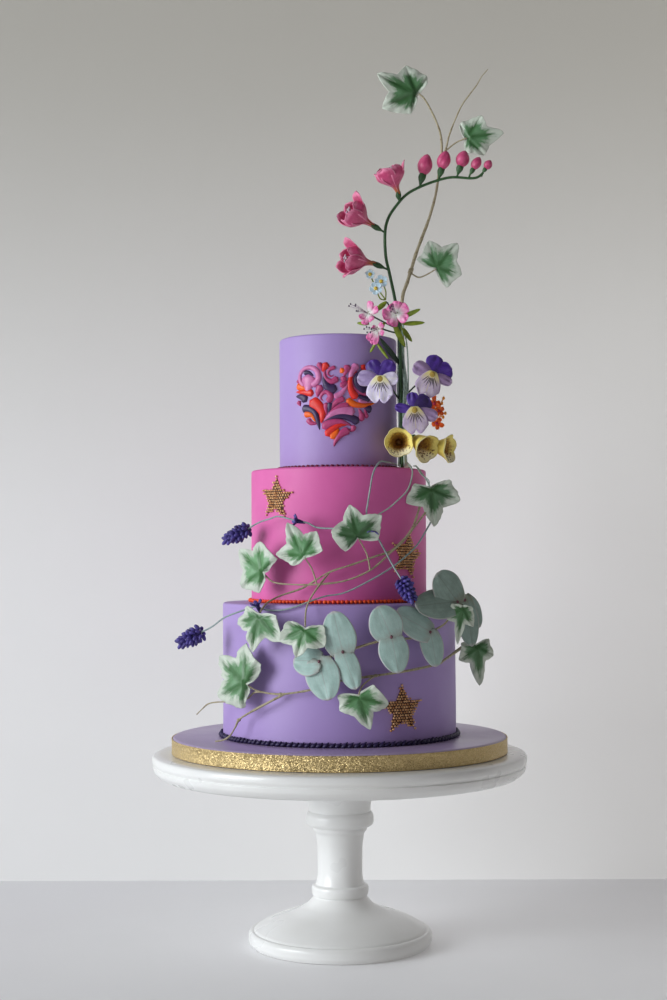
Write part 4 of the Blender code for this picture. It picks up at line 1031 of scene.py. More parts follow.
def wire(shape, keys, radius, end=None, sides=8, knots=0.0, kind=0, seed=1):
    """A taped wire or twig through its places, tapering to its end, with slight knots."""
    path = smooth_path(keys, 6)
    last = radius if end is None else end
    radii = []
    for i, spot in enumerate(path):
        t = i / (len(path) - 1)
        bump = noise.noise(spot * 0.16 + Vector((seed, 0, 0)))
        radii.append((radius + (last - radius) * t) * (1 + knots * bump))
    shape.tube(path, radii, sides, lambda t: (t, 0.0, 0.0), kind)


def make_twigs(twig):
    first, second, lower = Shape(), Shape(), Shape()
    wire(first, TWIG_UPPER_1, 1.05, 0.8, knots=0.35)
    wire(first, TO_IVY_9, 0.85, 0.7, knots=0.25)
    first.piece("twig_over_pink_tier", twig, "twig_tape", ["twig_upper_1"])
    wire(second, TWIG_UPPER_2, 0.95, 0.7, knots=0.35, seed=2)
    wire(second, TO_IVY_5, 0.75, 0.6)
    wire(second, TO_IVY_7, 0.75, 0.6)
    second.piece("twig_below_pink_tier", twig, "twig_tape", ["twig_upper_2"])
    wire(lower, TWIG_LOWER, 1.35, 0.5, knots=0.35, seed=3)
    wire(lower, TO_BOARD, 1.15, 0.6, knots=0.35, seed=4)
    wire(lower, TO_IVY_10, 0.75, 0.6)
    wire(lower, TO_IVY_11, 0.75, 0.6)
    for spot in (TWIG_LOWER[7], TWIG_LOWER[4], TO_BOARD[3]):
        lower.ball(Vector(spot), (1.9, 1.7, 1.5))
    lower.piece("twig_round_bottom_tier", twig, "twig_tape", ["twig_lower"])


def make_vine(twig):
    shape = Shape()
    wire(shape, VINE, 1.9, 0.75, knots=0.2, seed=5)
    wire(shape, TENDRIL, 0.95, 0.35, knots=0.3, seed=6)
    for keys in VINE_SIDE_STEMS:
        wire(shape, keys, 0.75, 0.6)
    for centre, size in (((67, -8, 612), 2.5), ((96, -8, 718), 1.7)):
        for lift in (-1.6, 0, 1.6):
            shape.ball(Vector(centre) + Vector((lift * 0.35, 0, lift)), (size, size * 0.9, size * 0.5),
                       None, 12, 7)
    shape.piece("vine_stem", twig, "stem_tape", ["ivy_vine"])


# Loose stems in the bundle: sideways and forward of its middle, and the level of the top
LOOSE_STEMS = [(-3.2, -4, 545), (2.6, -5, 556), (1.9, -7.6, 520), (3.2, -6.6, 500), (4.2, -4.4, 530)]
BOWED_STEM = [(59.5, -24, 432), (61.8, -25, 470), (63.4, -25, 505), (62.6, -24, 540), (58.5, -22, 562)]


def make_bundle(green, pale, icing, blade_finish):
    shape = Shape()
    for number, keys in enumerate(BUNDLE_STEMS):
        wire(shape, keys, 1.15, 1.0, kind=number % 2, knots=0.1)
    for across, ahead, top in LOOSE_STEMS:
        keys = [(57.5 + across, -21 + ahead, 432), (57 + across * 0.6, -21 + ahead, 470),
                (57.4 + across * 1.1, -21 + ahead, 505), (57 + across * 0.5, -21 + ahead * 0.6, top)]
        wire(shape, keys, 0.9, 0.75, kind=1)
    wire(shape, BOWED_STEM, 0.7, 0.6, kind=1)
    for keys in FLOWER_STALKS:
        wire(shape, keys, 0.85, 0.7, kind=0)
    for number, (base, tip, width) in enumerate(BLADES):
        petal(shape, base, tip, (0, -1, 0.35), width, bend=-1.8, cup=-0.9, peak=0.45, thickness=0.5,
              kind=0 if number == 4 else 3, seed=number, belly=0.7, blunt=1.5, ruffle=0.6)
    rows = []
    for radius, height in ((6.2, 429.9), (6.0, 431.4), (5.0, 433.2), (3.6, 434.8), (2.2, 436.2)):
        row = []
        for k in range(24):
            t = 2 * math.pi * k / 24
            lump = 1 + 0.16 * noise.noise(Vector((math.cos(t), math.sin(t), height)))
            row.append(Vector((60 + radius * lump * math.cos(t), -23 + radius * 0.95 * math.sin(t),
                               height)))
        rows.append(row)
    rings = shape.grid(rows, True, kind=2)
    shape.cap(rings[0], Vector((60, -23, 429.9)), kind=2, flip=True)
    shape.cap(rings[-1], Vector((60, -23, 437)), kind=2)
    shape.piece("upright_stems", [green, pale, icing, blade_finish], "stem_tape", ["stem_bundle"])


WHORLS = (6, 8, 9, 9, 8, 6, 3)   # how many florets stand in each ring of a head, from its base up


def lavender_head(shape, base, tip, radius, seed):
    """A chunky spike of lavender: rings of small round-ended petals about a core."""
    draw = random.Random(seed)
    start, end = Vector(base), Vector(tip)
    ahead = (end - start).normalized()
    length = (end - start).length
    side = ahead.orthogonal().normalized()
    other = ahead.cross(side)
    shape.tube([start, start.lerp(end, 0.5), start.lerp(end, 0.9)], [1.4, radius * 0.5, 1.6], 8, kind=1)
    for w, count in enumerate(WHORLS):
        t = w / (len(WHORLS) - 1)
        reach = radius * (0.55 + 0.45 * math.sin(math.pi * min(1.0, 0.2 + 0.8 * t)))
        for k in range(count):
            turn = 2 * math.pi * (k + 0.5 * (w % 2) + draw.uniform(-0.2, 0.2)) / count
            radial = round_axis((side, other), turn)
            heading = (radial + ahead * (0.35 + 1.3 * t * t + draw.uniform(-0.15, 0.15))).normalized()
            size = draw.uniform(0.85, 1.15)
            stem_side = heading.orthogonal().normalized()
            turn_matrix = Matrix((stem_side, heading.cross(stem_side), heading)).transposed()
            centre = start + ahead * (t * length * 0.82) + radial * (reach * 0.25)
            centre += heading * (reach * 0.4 * size)
            shape.ball(centre, (1.65 * size, 1.65 * size, 2.9 * size), turn_matrix, 9, 6, 1,
                       (draw.random(), 0.0, 0.0))


def make_lavender(wire_finish, petals, green):
    for number, (keys, head, floret) in enumerate(zip(LAVENDER_WIRES, LAVENDER_HEADS, LAVENDER_FLORETS), 1):
        shape = Shape()
        wire(shape, keys, 0.75, 0.75)
        lavender_head(shape, *head, number)
        spot, ahead = Vector(floret[0]), Vector(floret[1]).normalized()
        side = ahead.cross(Vector((0, -1, 0.1))).normalized()
        other = side.cross(ahead)
        shape.tube([spot - ahead * 6.5, spot - ahead * 3, spot + ahead * 0.5], [0.85, 1.5, 2.1], 8, kind=1)
        for k in range(6):
            turn = 2 * math.pi * k / 6 + 0.4
            radial = round_axis((side, other), turn)
            tip = spot + (ahead * 0.95 + radial).normalized() * 7.2
            petal(shape, spot, tip, ahead - radial, 3.3, bend=-0.8, cup=-0.5, kind=1, seed=k, neck=0.5,
                  steps=(8, 7), thickness=0.7)
        shape.piece(f"lavender_spray_{number}", [wire_finish, petals], "lavender_petal",
                    [f"lavender_{number}"])
    loose = Shape()
    wire(loose, LOOSE_WIRE, 0.62)
    loose.piece("loose_green_wire", green, "stem_tape", ["loose_wire"])
    leaf = Shape()
    wire(leaf, LEAF_WIRE, 0.62)
    twist = [(x + 1.6 * math.cos(i * 2.1), y - 1.2, z + 0.9 * math.sin(i * 2.1))
             for i, (x, y, z) in enumerate(LEAF_WIRE)]
    wire(leaf, twist, 0.5)
    leaf.piece("twisted_leaf_wire", green, "stem_tape", ["leaf_wire"])


# Flowers

# Where the stalk leaves the stem, the flower's tail, the middle of its mouth,
# and which petals fold out and how far
FREESIA_FLOWERS = [
    ((56, -30, 670), (55.5, -33, 677), (47, -38, 698), {0: 0.6, 2: 0.4, 3: 0.7}),
    ((43, -30, 643), (33, -34, 648), (10, -45, 660), {0: 0.9}),
    ((46, -30, 609), (34, -34, 614), (7, -45, 617), {0: 1.0, 3: 1.1}),
]
FREESIA_BUDS = [
    ((75, -30, 686.4), (82, -31, 714), 6.7), ((92, -30, 692.4), (99, -31, 717), 6.2),
    ((109, -30, 695.6), (116, -31, 717), 6.2), ((120, -30, 695.2), (129, -31, 711), 4.5),
    ((131.5, -30, 697), (139, -31, 708), 3.9),
]


def flower_axes(start, end):
    ahead = (Vector(end) - Vector(start)).normalized()
    side = ahead.cross(Vector((0, -1, 0.05))).normalized()
    return side, side.cross(ahead), ahead


def trumpet_petal(shape, start, axes, turn, length, radii, spread, kind, seed, fold=0.0):
    """A petal of a trumpet flower. It covers a share of the trumpet's round, and may fold out."""
    ahead = axes[2]
    rows, marks = [], []
    down, over = 16, 13
    for r in range(down + 1):
        t = r / down
        radius = smooth_value(radii, t)
        taper = 1.0 if t < 0.6 else math.sqrt(max(0.0, 1 - ((t - 0.6) / 0.4) ** 2.8))
        half = max(spread * taper, 0.03)
        open_out = fold * max(0.0, t - 0.5) ** 2
        row, mark = [], []
        for c in range(over):
            u = 2 * c / (over - 1) - 1
            angle = turn + u * half
            wander = noise.noise(Vector((u * 1.8, t * 2.0, seed * 2.3)))
            reach = radius + (0.3 + 1.0 * t) * wander + open_out * length * 0.75 + 0.9 * u * u * t
            level = ahead * (t * length - open_out * length * 0.25)
            row.append(Vector(start) + level + round_axis(axes, angle) * max(reach, 0.6))
            mark.append((t, u / 2 + 0.5, abs(u) ** 3))
        rows.append(row)
        marks.append(mark)
    shape.sheet(rows, 0.6, marks, kind)


def calyx(shape, base, tip, radius, kind, lobes=3):
    """The green spindle at the foot of a bud or flower, with pointed lobes at its end."""
    start, end = Vector(base), Vector(tip)
    axes = flower_axes(start, end)
    length = (end - start).length
    rows = []
    for t, share in ((0.0, 0.32), (0.15, 0.45), (0.35, 0.78), (0.55, 1.0), (0.75, 0.98), (0.9, 0.9),
                     (1.0, 0.8)):
        row = []
        for k in range(18):
            turn = 2 * math.pi * k / 18
            jag = 1 + 0.2 * math.cos(lobes * turn) * max(0.0, t - 0.7) / 0.3
            row.append(start + axes[2] * (length * t * jag) + round_axis(axes, turn) * (radius * share))
        rows.append(row)
    rings = shape.grid(rows, True, kind=kind)
    shape.cap(rings[0], start, kind=kind, flip=True)
    shape.cap(rings[-1], start + axes[2] * length * 0.8, kind=kind)


def make_freesia(green, petals, stamens):
    stem = Shape()
    wire(stem, FREESIA_STEM, 1.6, 1.1, sides=10)
    for joint, tail, mouth, _ in FREESIA_FLOWERS:
        wire(stem, [joint, tuple(Vector(joint).lerp(Vector(tail), 0.5)), tail], 0.9)
    for base, tip, radius in FREESIA_BUDS:
        wire(stem, [tuple(Vector(base) - Vector((1.2, 0, 3.5))), base], 0.9)
    stem.piece("freesia_stem_taped", green, "stem_tape", ["freesia_stem"])
    for number, (joint, tail, mouth, folds) in enumerate(FREESIA_FLOWERS, 1):
        shape = Shape()
        axes = flower_axes(tail, mouth)
        root = Vector(tail)
        length = (Vector(mouth) - root).length + 5
        for k in range(6):
            outer = k % 2 == 0
            radii = (1.5, 1.9, 3.6, 8.6, 12.0, 12.8 if outer else 11.2, 12.2 if outer else 10.2)
            trumpet_petal(shape, root, axes, math.pi * k / 3, length * (0.97 if outer else 0.92), radii,
                          0.70, 0, number * 7 + k, folds.get(k, 0.0))
        for k in range(4):
            turn = k * 1.7
            lean = axes[0] * math.cos(turn) * 2.4 + axes[1] * math.sin(turn) * 2.4
            shape.tube([root + axes[2] * 8, root + axes[2] * (length * 0.86) + lean], [0.35, 0.3], 6,
                       kind=2)
            shape.ball(root + axes[2] * (length * 0.86) + lean, (0.9, 0.9, 1.5), None, 8, 5, 2)
        calyx(shape, Vector(joint).lerp(root, 0.25), root + axes[2] * 1.8, 2.6, 1)
        shape.piece(f"freesia_bloom_{number}", [petals, green, stamens], "pink_petal",
                    [f"freesia_flower_{number}"])
    for number, (base, tip, radius) in enumerate(FREESIA_BUDS, 1):
        shape = Shape()
        start, end = Vector(base), Vector(tip)
        axes = flower_axes(start, end)
        root = start.lerp(end, 0.3)
        length = (end - root).length
        rows, marks = [], []
        for r in range(1, 16):
            t = r / 16
            row = []
            swell = math.sin(math.pi * t ** 0.88) ** 0.62
            for k in range(30):
                turn = 2 * math.pi * k / 30
                seam = abs(math.sin(1.5 * (turn + 1.1 * t + number)))
                reach = radius * swell * (0.84 + 0.16 * min(seam * 1.8, 1.0))
                row.append(root + axes[2] * (length * t) + round_axis(axes, turn) * reach)
            rows.append(row)
            marks.append([(0.42 + 0.4 * t, 0.25 + k / 60, 0.0) for k in range(30)])
        rings = shape.grid(rows, True, marks)
        shape.cap(rings[0], root, (0.42, 0.3, 0), flip=True)
        shape.cap(rings[-1], end, (0.8, 0.3, 0))
        calyx(shape, start, start.lerp(end, 0.40), radius * 0.52, 1)
        shape.piece(f"freesia_closed_bud_{number}", [petals, green], "pink_petal",
                    [f"freesia_bud_{number}"])


# Pink blossoms: centre, facing, its petals' tips as seen from the front, and which way its stamens lean
PINK_BLOSSOMS = [
    ((26, -46, 568), (-0.5, -1, 0.1), ((4, 10.5), (11.5, 3.5), (5.5, -8), (-3, -11), (-8, -4)), (-11, 5)),
    ((52, -50, 567), (0.05, -1, 0.05),
     ((1.7, 11), (10.5, 6.5), (10, -6.5), (-5, -12), (-13, -1.5), (-7, 7)), (-4, 4)),
    ((34, -58, 551), (-0.4, -1, -0.35), ((-9, -10), (-4, -14), (7, -4), (7, 6), (-4, 3)), (-6, 1)),
]


def make_small_flowers(blue, pink, green, yellow, dark, pale):
    shape = Shape()
    for number, centre in enumerate(((29, -42, 603), (39, -40, 597), (34, -44, 590))):
        spot = Vector(centre)
        reach = 4.4 if number == 0 else 6.0
        for k in range(5):
            turn = 2 * math.pi * k / 5 + number
            tip = spot + Vector((math.sin(turn), -0.1, math.cos(turn))) * reach
            petal(shape, spot, tip, (0, -1, 0.1), reach * 0.85, bend=0.4, cup=0.4, peak=0.62, seed=k,
                  neck=0.25)
        shape.ball(spot + Vector((0, -0.9, 0)), (1.7, 1.0, 1.7), None, 12, 7, 2)
        wire(shape, [centre, (centre[0] + 4, -38, centre[2] - 8), (43, -36, 581)], 0.6, 0.6, kind=1)
    shape.piece("forget_me_not_sprig", [blue, green, yellow], "blue_petal", ["forget_me_nots"])
    for number, (centre, face, tips, lean) in enumerate(PINK_BLOSSOMS, 1):
        shape = Shape()
        out = Vector(face).normalized()
        spot = Vector(centre) - out * 3
        for k, (across, up) in enumerate(tips):
            radial = Vector((across, 0, up))
            radial -= out * (radial.dot(out) * 0.6)
            broad = 0.72 if number == 2 else 0.5
            petal(shape, spot, spot + radial + out * 3.0, out * 2 - radial.normalized(),
                  broad * radial.length + 1.2, bend=1.0, cup=-1.0, peak=0.74, notch=0.2, ruffle=1.2,
                  seed=number * 9 + k, neck=0.12, belly=1.2, steps=(14, 13), blunt=2.2)
        draw = random.Random(number)
        for k in range(6):
            turn = 2 * math.pi * k / 6
            end = spot + out * draw.uniform(5, 7) + Vector((lean[0], 0, lean[1])) * draw.uniform(0.6, 1.25)
            end += Vector((math.cos(turn), 0, math.sin(turn))) * draw.uniform(1.6, 3.6)
            shape.tube([spot, spot.lerp(end, 0.55) + out, end], [0.28, 0.22, 0.22], 6, kind=3)
            shape.ball(end, (0.62, 0.62, 1.0), None, 8, 5, 2)
        calyx(shape, spot - out * 5, spot + out * 0.3, 2.0, 1)
        shape.piece(f"pink_blossom_{number}", [pink, green, dark, pale], "pink_petal",
                    [f"pink_flower_{number}"])


# Petals of each viola, back to front: its tip as seen from the front, its width, its finish,
# how far forward it lies
VIOLAS = [
    ((37, -60, 507), (-0.1, -1, 0.1), [((-9, 18), 14, 0, -1.4), ((10.5, 17), 14, 0, -0.9),
                                       ((-20.5, 2.5), 14.5, 1, -0.3), ((16, 1.0), 12, 2, 0.0),
                                       ((-0.5, -21.5), 24, 2, 0.8)]),
    ((83, -58, 511), (0.1, -1, 0.1), [((18.5, 6.5), 16.5, 0, -1.4), ((4.5, 18.5), 15.5, 0, -0.9),
                                      ((-16, 9.5), 14, 5, -0.3), ((18, -7), 9.5, 5, 0.0),
                                      ((-7.5, -20), 23, 6, 0.8)]),
    ((67, -65, 479), (0.0, -1, 0.05), [((-2, 16.5), 10.5, 0, -1.4), ((13, 11.5), 15.5, 7, -0.9),
                                       ((-17, 3.5), 8.5, 0, -0.3), ((20.5, -6), 11.5, 5, 0.0),
                                       ((1.5, -21), 23, 6, 0.8)]),
]
# Whisker lines on a viola's lip: where each starts and ends across it, and along it
WHISKERS = [(-0.34, -0.70, 0.22, 0.50), (-0.24, -0.50, 0.25, 0.62), (-0.15, -0.30, 0.26, 0.50),
            (-0.07, -0.14, 0.27, 0.60), (0.02, 0.02, 0.27, 0.50), (0.10, 0.18, 0.27, 0.62),
            (0.20, 0.42, 0.26, 0.56), (0.32, 0.64, 0.23, 0.48)]


def make_violas(finishes):
    for number, (eye, face, petals) in enumerate(VIOLAS, 1):
        shape = Shape()
        centre = Vector(eye)
        out = Vector(face).normalized()
        lip = None
        last = len(petals) - 1
        for k, ((across, up), width, kind, ahead) in enumerate(petals):
            heading = Vector((across, 0, up))
            heading -= out * heading.dot(out)
            base = centre + out * ahead
            if k == last:
                base -= heading.normalized() * 3.2
                heading *= 1.15
            lip = petal(shape, base, base + heading, out, width, bend=-1.4, cup=-1.2, peak=0.66, ruffle=1.4,
                        lobed=0.68 if k == last else 0.0, seed=number * 11 + k, neck=0.10 if k < 2 else 0.2,
                        kind=kind, steps=(18, 17), belly=0.8 if k == last else 0.95, blunt=2.6)
        for start, end, low, high in WHISKERS:
            path = [lip(low + (high - low) * i / 6, start + (end - start) * i / 6) for i in range(7)]
            shape.tube(path, [0.18, 0.28, 0.34, 0.35, 0.31, 0.21, 0.06], 6, kind=4)
        shape.ball(centre + out * 1.15, (2.5, 0.6, 2.7), None, 16, 8, 3)
        shape.piece(f"viola_bloom_{number}", finishes, "viola_petal", [f"viola_{number}"])


def make_orange_cluster(orange, green, yellow, heart):
    shape = Shape()
    draw = random.Random(8)
    for number, centre in enumerate(((86, -45, 487), (90, -47, 480), (88, -46, 469))):
        spot = Vector(centre)
        for k in range(5):
            turn = 2 * math.pi * (k + draw.uniform(-0.25, 0.25)) / 5 + number
            reach = draw.uniform(4.6, 7.2) * (0.8 if number == 1 else 1.0)
            tip = spot + Vector((math.sin(turn), draw.uniform(-0.6, 0.3), math.cos(turn))) * reach
            petal(shape, spot, tip, (0.2 + draw.uniform(-0.5, 0.5), -1, draw.uniform(-0.4, 0.5)),
                  draw.uniform(3.8, 5.2), bend=-0.8, cup=0.8, peak=0.66, ruffle=1.6, notch=0.1,
                  seed=number * 5 + k, neck=0.3, steps=(10, 9))
        shape.ball(spot + Vector((-0.6, -1.0, -0.4)), (1.5, 1.0, 1.5), None, 10, 6, 3)
        wire(shape, [centre, (86, -41, 477)], 0.7, 0.7, kind=1)
    for centre in ((94, -44, 491.5), (92.5, -44, 487), (93.5, -44, 474.5), (95.5, -44, 478),
                   (92, -44, 481.5)):
        shape.ball(Vector(centre), (1.25, 1.2, 1.7), None, 10, 7, 2)
        wire(shape, [centre, (86, -41, 477)], 0.55, 0.55, kind=2)
    shape.piece("orange_floret_cluster", [orange, green, yellow, heart], "orange_petal", ["orange_cluster"])


FOXGLOVES = [
    ((54, -36, 453), (53.5, -56, 452), 20, 12.0), ((68, -40, 456), (80, -56, 445), 20, 11.8),
    ((86, -37, 449), (97, -43, 447), 15, 11.6),
]
# The bell's radius along it, as a share of its mouth's: outside, then inside
BELL_OUTSIDE = [(0.02, 0.2), (0.08, 0.34), (0.2, 0.48), (0.4, 0.60), (0.6, 0.70), (0.76, 0.80),
                (0.88, 0.91), (0.96, 1.0), (1.0, 1.04)]
BELL_INSIDE = [(0.24, 0.2), (0.3, 0.38), (0.42, 0.5), (0.55, 0.58), (0.68, 0.65), (0.8, 0.73), (0.9, 0.83),
               (0.98, 0.94), (1.03, 1.0)]


def make_foxgloves(outer, inner, green):
    around = 60
    for number, (tail, mouth, length, radius) in enumerate(FOXGLOVES, 1):
        shape = Shape()
        side, other, ahead = flower_axes(tail, mouth)
        start = Vector(tail)
        upright = (UP - ahead * UP.dot(ahead)).normalized()
        skins = []
        for skin, profile in enumerate((BELL_OUTSIDE, BELL_INSIDE)):
            rows, marks = [], []
            for t, share in profile:
                row, mark = [], []
                for k in range(around):
                    turn = 2 * math.pi * k / around
                    radial = round_axis((side, other), turn)
                    low = max(0.0, -radial.dot(upright))
                    lip = max(0.0, t - 0.6) / 0.4
                    scallop = abs(math.cos(2.5 * turn + number * 0.7))
                    uneven = noise.noise(radial * 2 + Vector((number, 0, 0)))
                    lobes = 0.11 * scallop ** 0.6 - 0.07 + 0.05 * uneven
                    reach = radius * share * (1 + lip * (lobes + 0.08 * low))
                    push = length * t + lip * (2.2 * low + 1.8 * scallop - 1.2)
                    row.append(start + ahead * push + radial * reach)
                    mark.append((t, 0.25 + 0.5 * k / around, low * t))
                rows.append(row)
                marks.append(mark)
            skins.append(shape.grid(rows, True, marks, skin, not skin))
        outside, inside = skins
        for a in range(around):
            b = (a + 1) % around
            shape.face((outside[-1][a], outside[-1][b], inside[-1][b], inside[-1][a]), 0)
        shape.cap(outside[0], start, flip=True)
        shape.cap(inside[0], start + ahead * (length * 0.22), (0.2, 0.3, 0), 1)
        calyx(shape, start - ahead * 5, start + ahead * 0.8, radius * 0.26, 2, 5)
        shape.piece(f"foxglove_bell_{number}", [outer, inner, green], "yellow_petal",
                    [f"foxglove_{number}"])


# Finishes of the flowers and stems

def petal_finish(name, heart, tone, deep, edge, heart_reach, edge_reach=0.93, roughness=0.5, strokes=14.0,
                 softness=0.25, vein=None):
    """Dusted petal: its heart fades out in strokes to the petal's tone, veins and paler edge."""
    made = Finish(name, roughness)
    tree = made.tree
    place = made.strokes(strokes, 2.0)
    paste = made.use("sugar", Tone=tone, Second_Tone=deep, Patch_Scale=150.0, Patch_Amount=0.8,
                     Grain_Scale=900.0)
    streak = noise_node(tree, place, 1.6, 4.0, 0.6)
    body = mix_node(tree, math_node(tree, "MULTIPLY", step_node(tree, streak, 0.48, 0.72), 0.5),
                    paste["Colour"], deep)
    if vein:
        wave = math_node(tree, "ADD", math_node(tree, "MULTIPLY", made.mask("rim"), 50.0),
                         math_node(tree, "MULTIPLY", streak, 5.0))
        fan = math_node(tree, "MULTIPLY", step_node(tree, math_node(tree, "SINE", wave, 0.0), 0.86, 1.0),
                        0.5)
        midrib = step_node(tree, made.mask("spot"), 0.7, 0.95)
        body = mix_node(tree, math_node(tree, "MULTIPLY", math_node(tree, "MAXIMUM", fan, midrib), 0.6),
                        body, vein)
    inner = made.use("edge", Vector=place, Reach=made.mask("along"), Threshold=heart_reach,
                     Softness=softness, Break_Up=0.35, Scale=1.0)
    across = math_node(tree, "ABSOLUTE",
                       math_node(tree, "SUBTRACT", math_node(tree, "MULTIPLY", made.mask("rim"), 2.0), 1.0),
                       0.0)
    outer = made.use("edge", Vector=place, Reach=math_node(tree, "MAXIMUM", made.mask("along"), across),
                     Threshold=edge_reach, Softness=0.08, Break_Up=0.12, Scale=1.0)
    made.colour(mix_node(tree, outer["Mask"], mix_node(tree, inner["Mask"], heart, body), edge))
    made.bump(math_node(tree, "ADD", paste["Height"], streak), 0.35, 0.0003)
    return made.material


def throat_finish():
    """Inside of a foxglove: brown and ochre deep in, lemon at the lip, dark freckles on the lower lip."""
    made = Finish("foxglove_throat", 0.5)
    tree = made.tree
    edge = made.use("edge", Reach=made.mask("along"), Threshold=0.78, Softness=0.22, Break_Up=0.5,
                    Scale=420.0)
    mottle = step_node(tree, noise_node(tree, made.vector, 380.0, 3.0, 0.6), 0.38, 0.62)
    deep = mix_node(tree, step_node(tree, made.mask("along"), 0.3, 0.6), (0.30, 0.14, 0.02),
                    (0.62, 0.38, 0.06))
    deep = mix_node(tree, math_node(tree, "MULTIPLY", mottle, 0.75), deep, (0.20, 0.07, 0.015))
    base = mix_node(tree, edge["Mask"], deep, (0.92, 0.78, 0.22))
    low = step_node(tree, made.mask("spot"), 0.3, 0.7)
    pale = mix_node(tree, math_node(tree, "MULTIPLY", low, 0.85), base, (0.90, 0.84, 0.62))
    spots = tree.nodes.new("ShaderNodeTexVoronoi")
    spots.inputs["Scale"].default_value = 470.0
    tree.links.new(made.vector, spots.inputs["Vector"])
    dot = math_node(tree, "SUBTRACT", 1.0, step_node(tree, spots.outputs["Distance"], 0.32, 0.42))
    inner = math_node(tree, "SUBTRACT", 1.0, step_node(tree, made.mask("along"), 0.90, 0.98))
    freckle = math_node(tree, "MULTIPLY", math_node(tree, "MULTIPLY", dot, inner),
                        step_node(tree, made.mask("spot"), 0.0, 0.2))
    made.colour(mix_node(tree, math_node(tree, "MULTIPLY", freckle, 0.85), pale, (0.14, 0.05, 0.035)))
    outs = made.use("sugar", Patch_Scale=300.0)
    made.bump(outs["Height"], 0.2, 0.0003)
    return made.material


def floret_finish(name, tone, deep):
    """Small dusted pieces, each a little lighter or darker than the next."""
    made = Finish(name)
    outs = made.use("sugar", Tone=tone, Second_Tone=deep, Patch_Scale=220.0, Patch_Amount=0.7,
                    Grain_Scale=1200.0)
    lift = math_node(made.tree, "MULTIPLY", made.mask("along"), 0.5)
    made.colour(mix_node(made.tree, lift, outs["Colour"], tuple(min(1.0, c * 2.2) for c in tone)))
    made.bump(outs["Height"], 0.25, 0.0003)
    return made.material


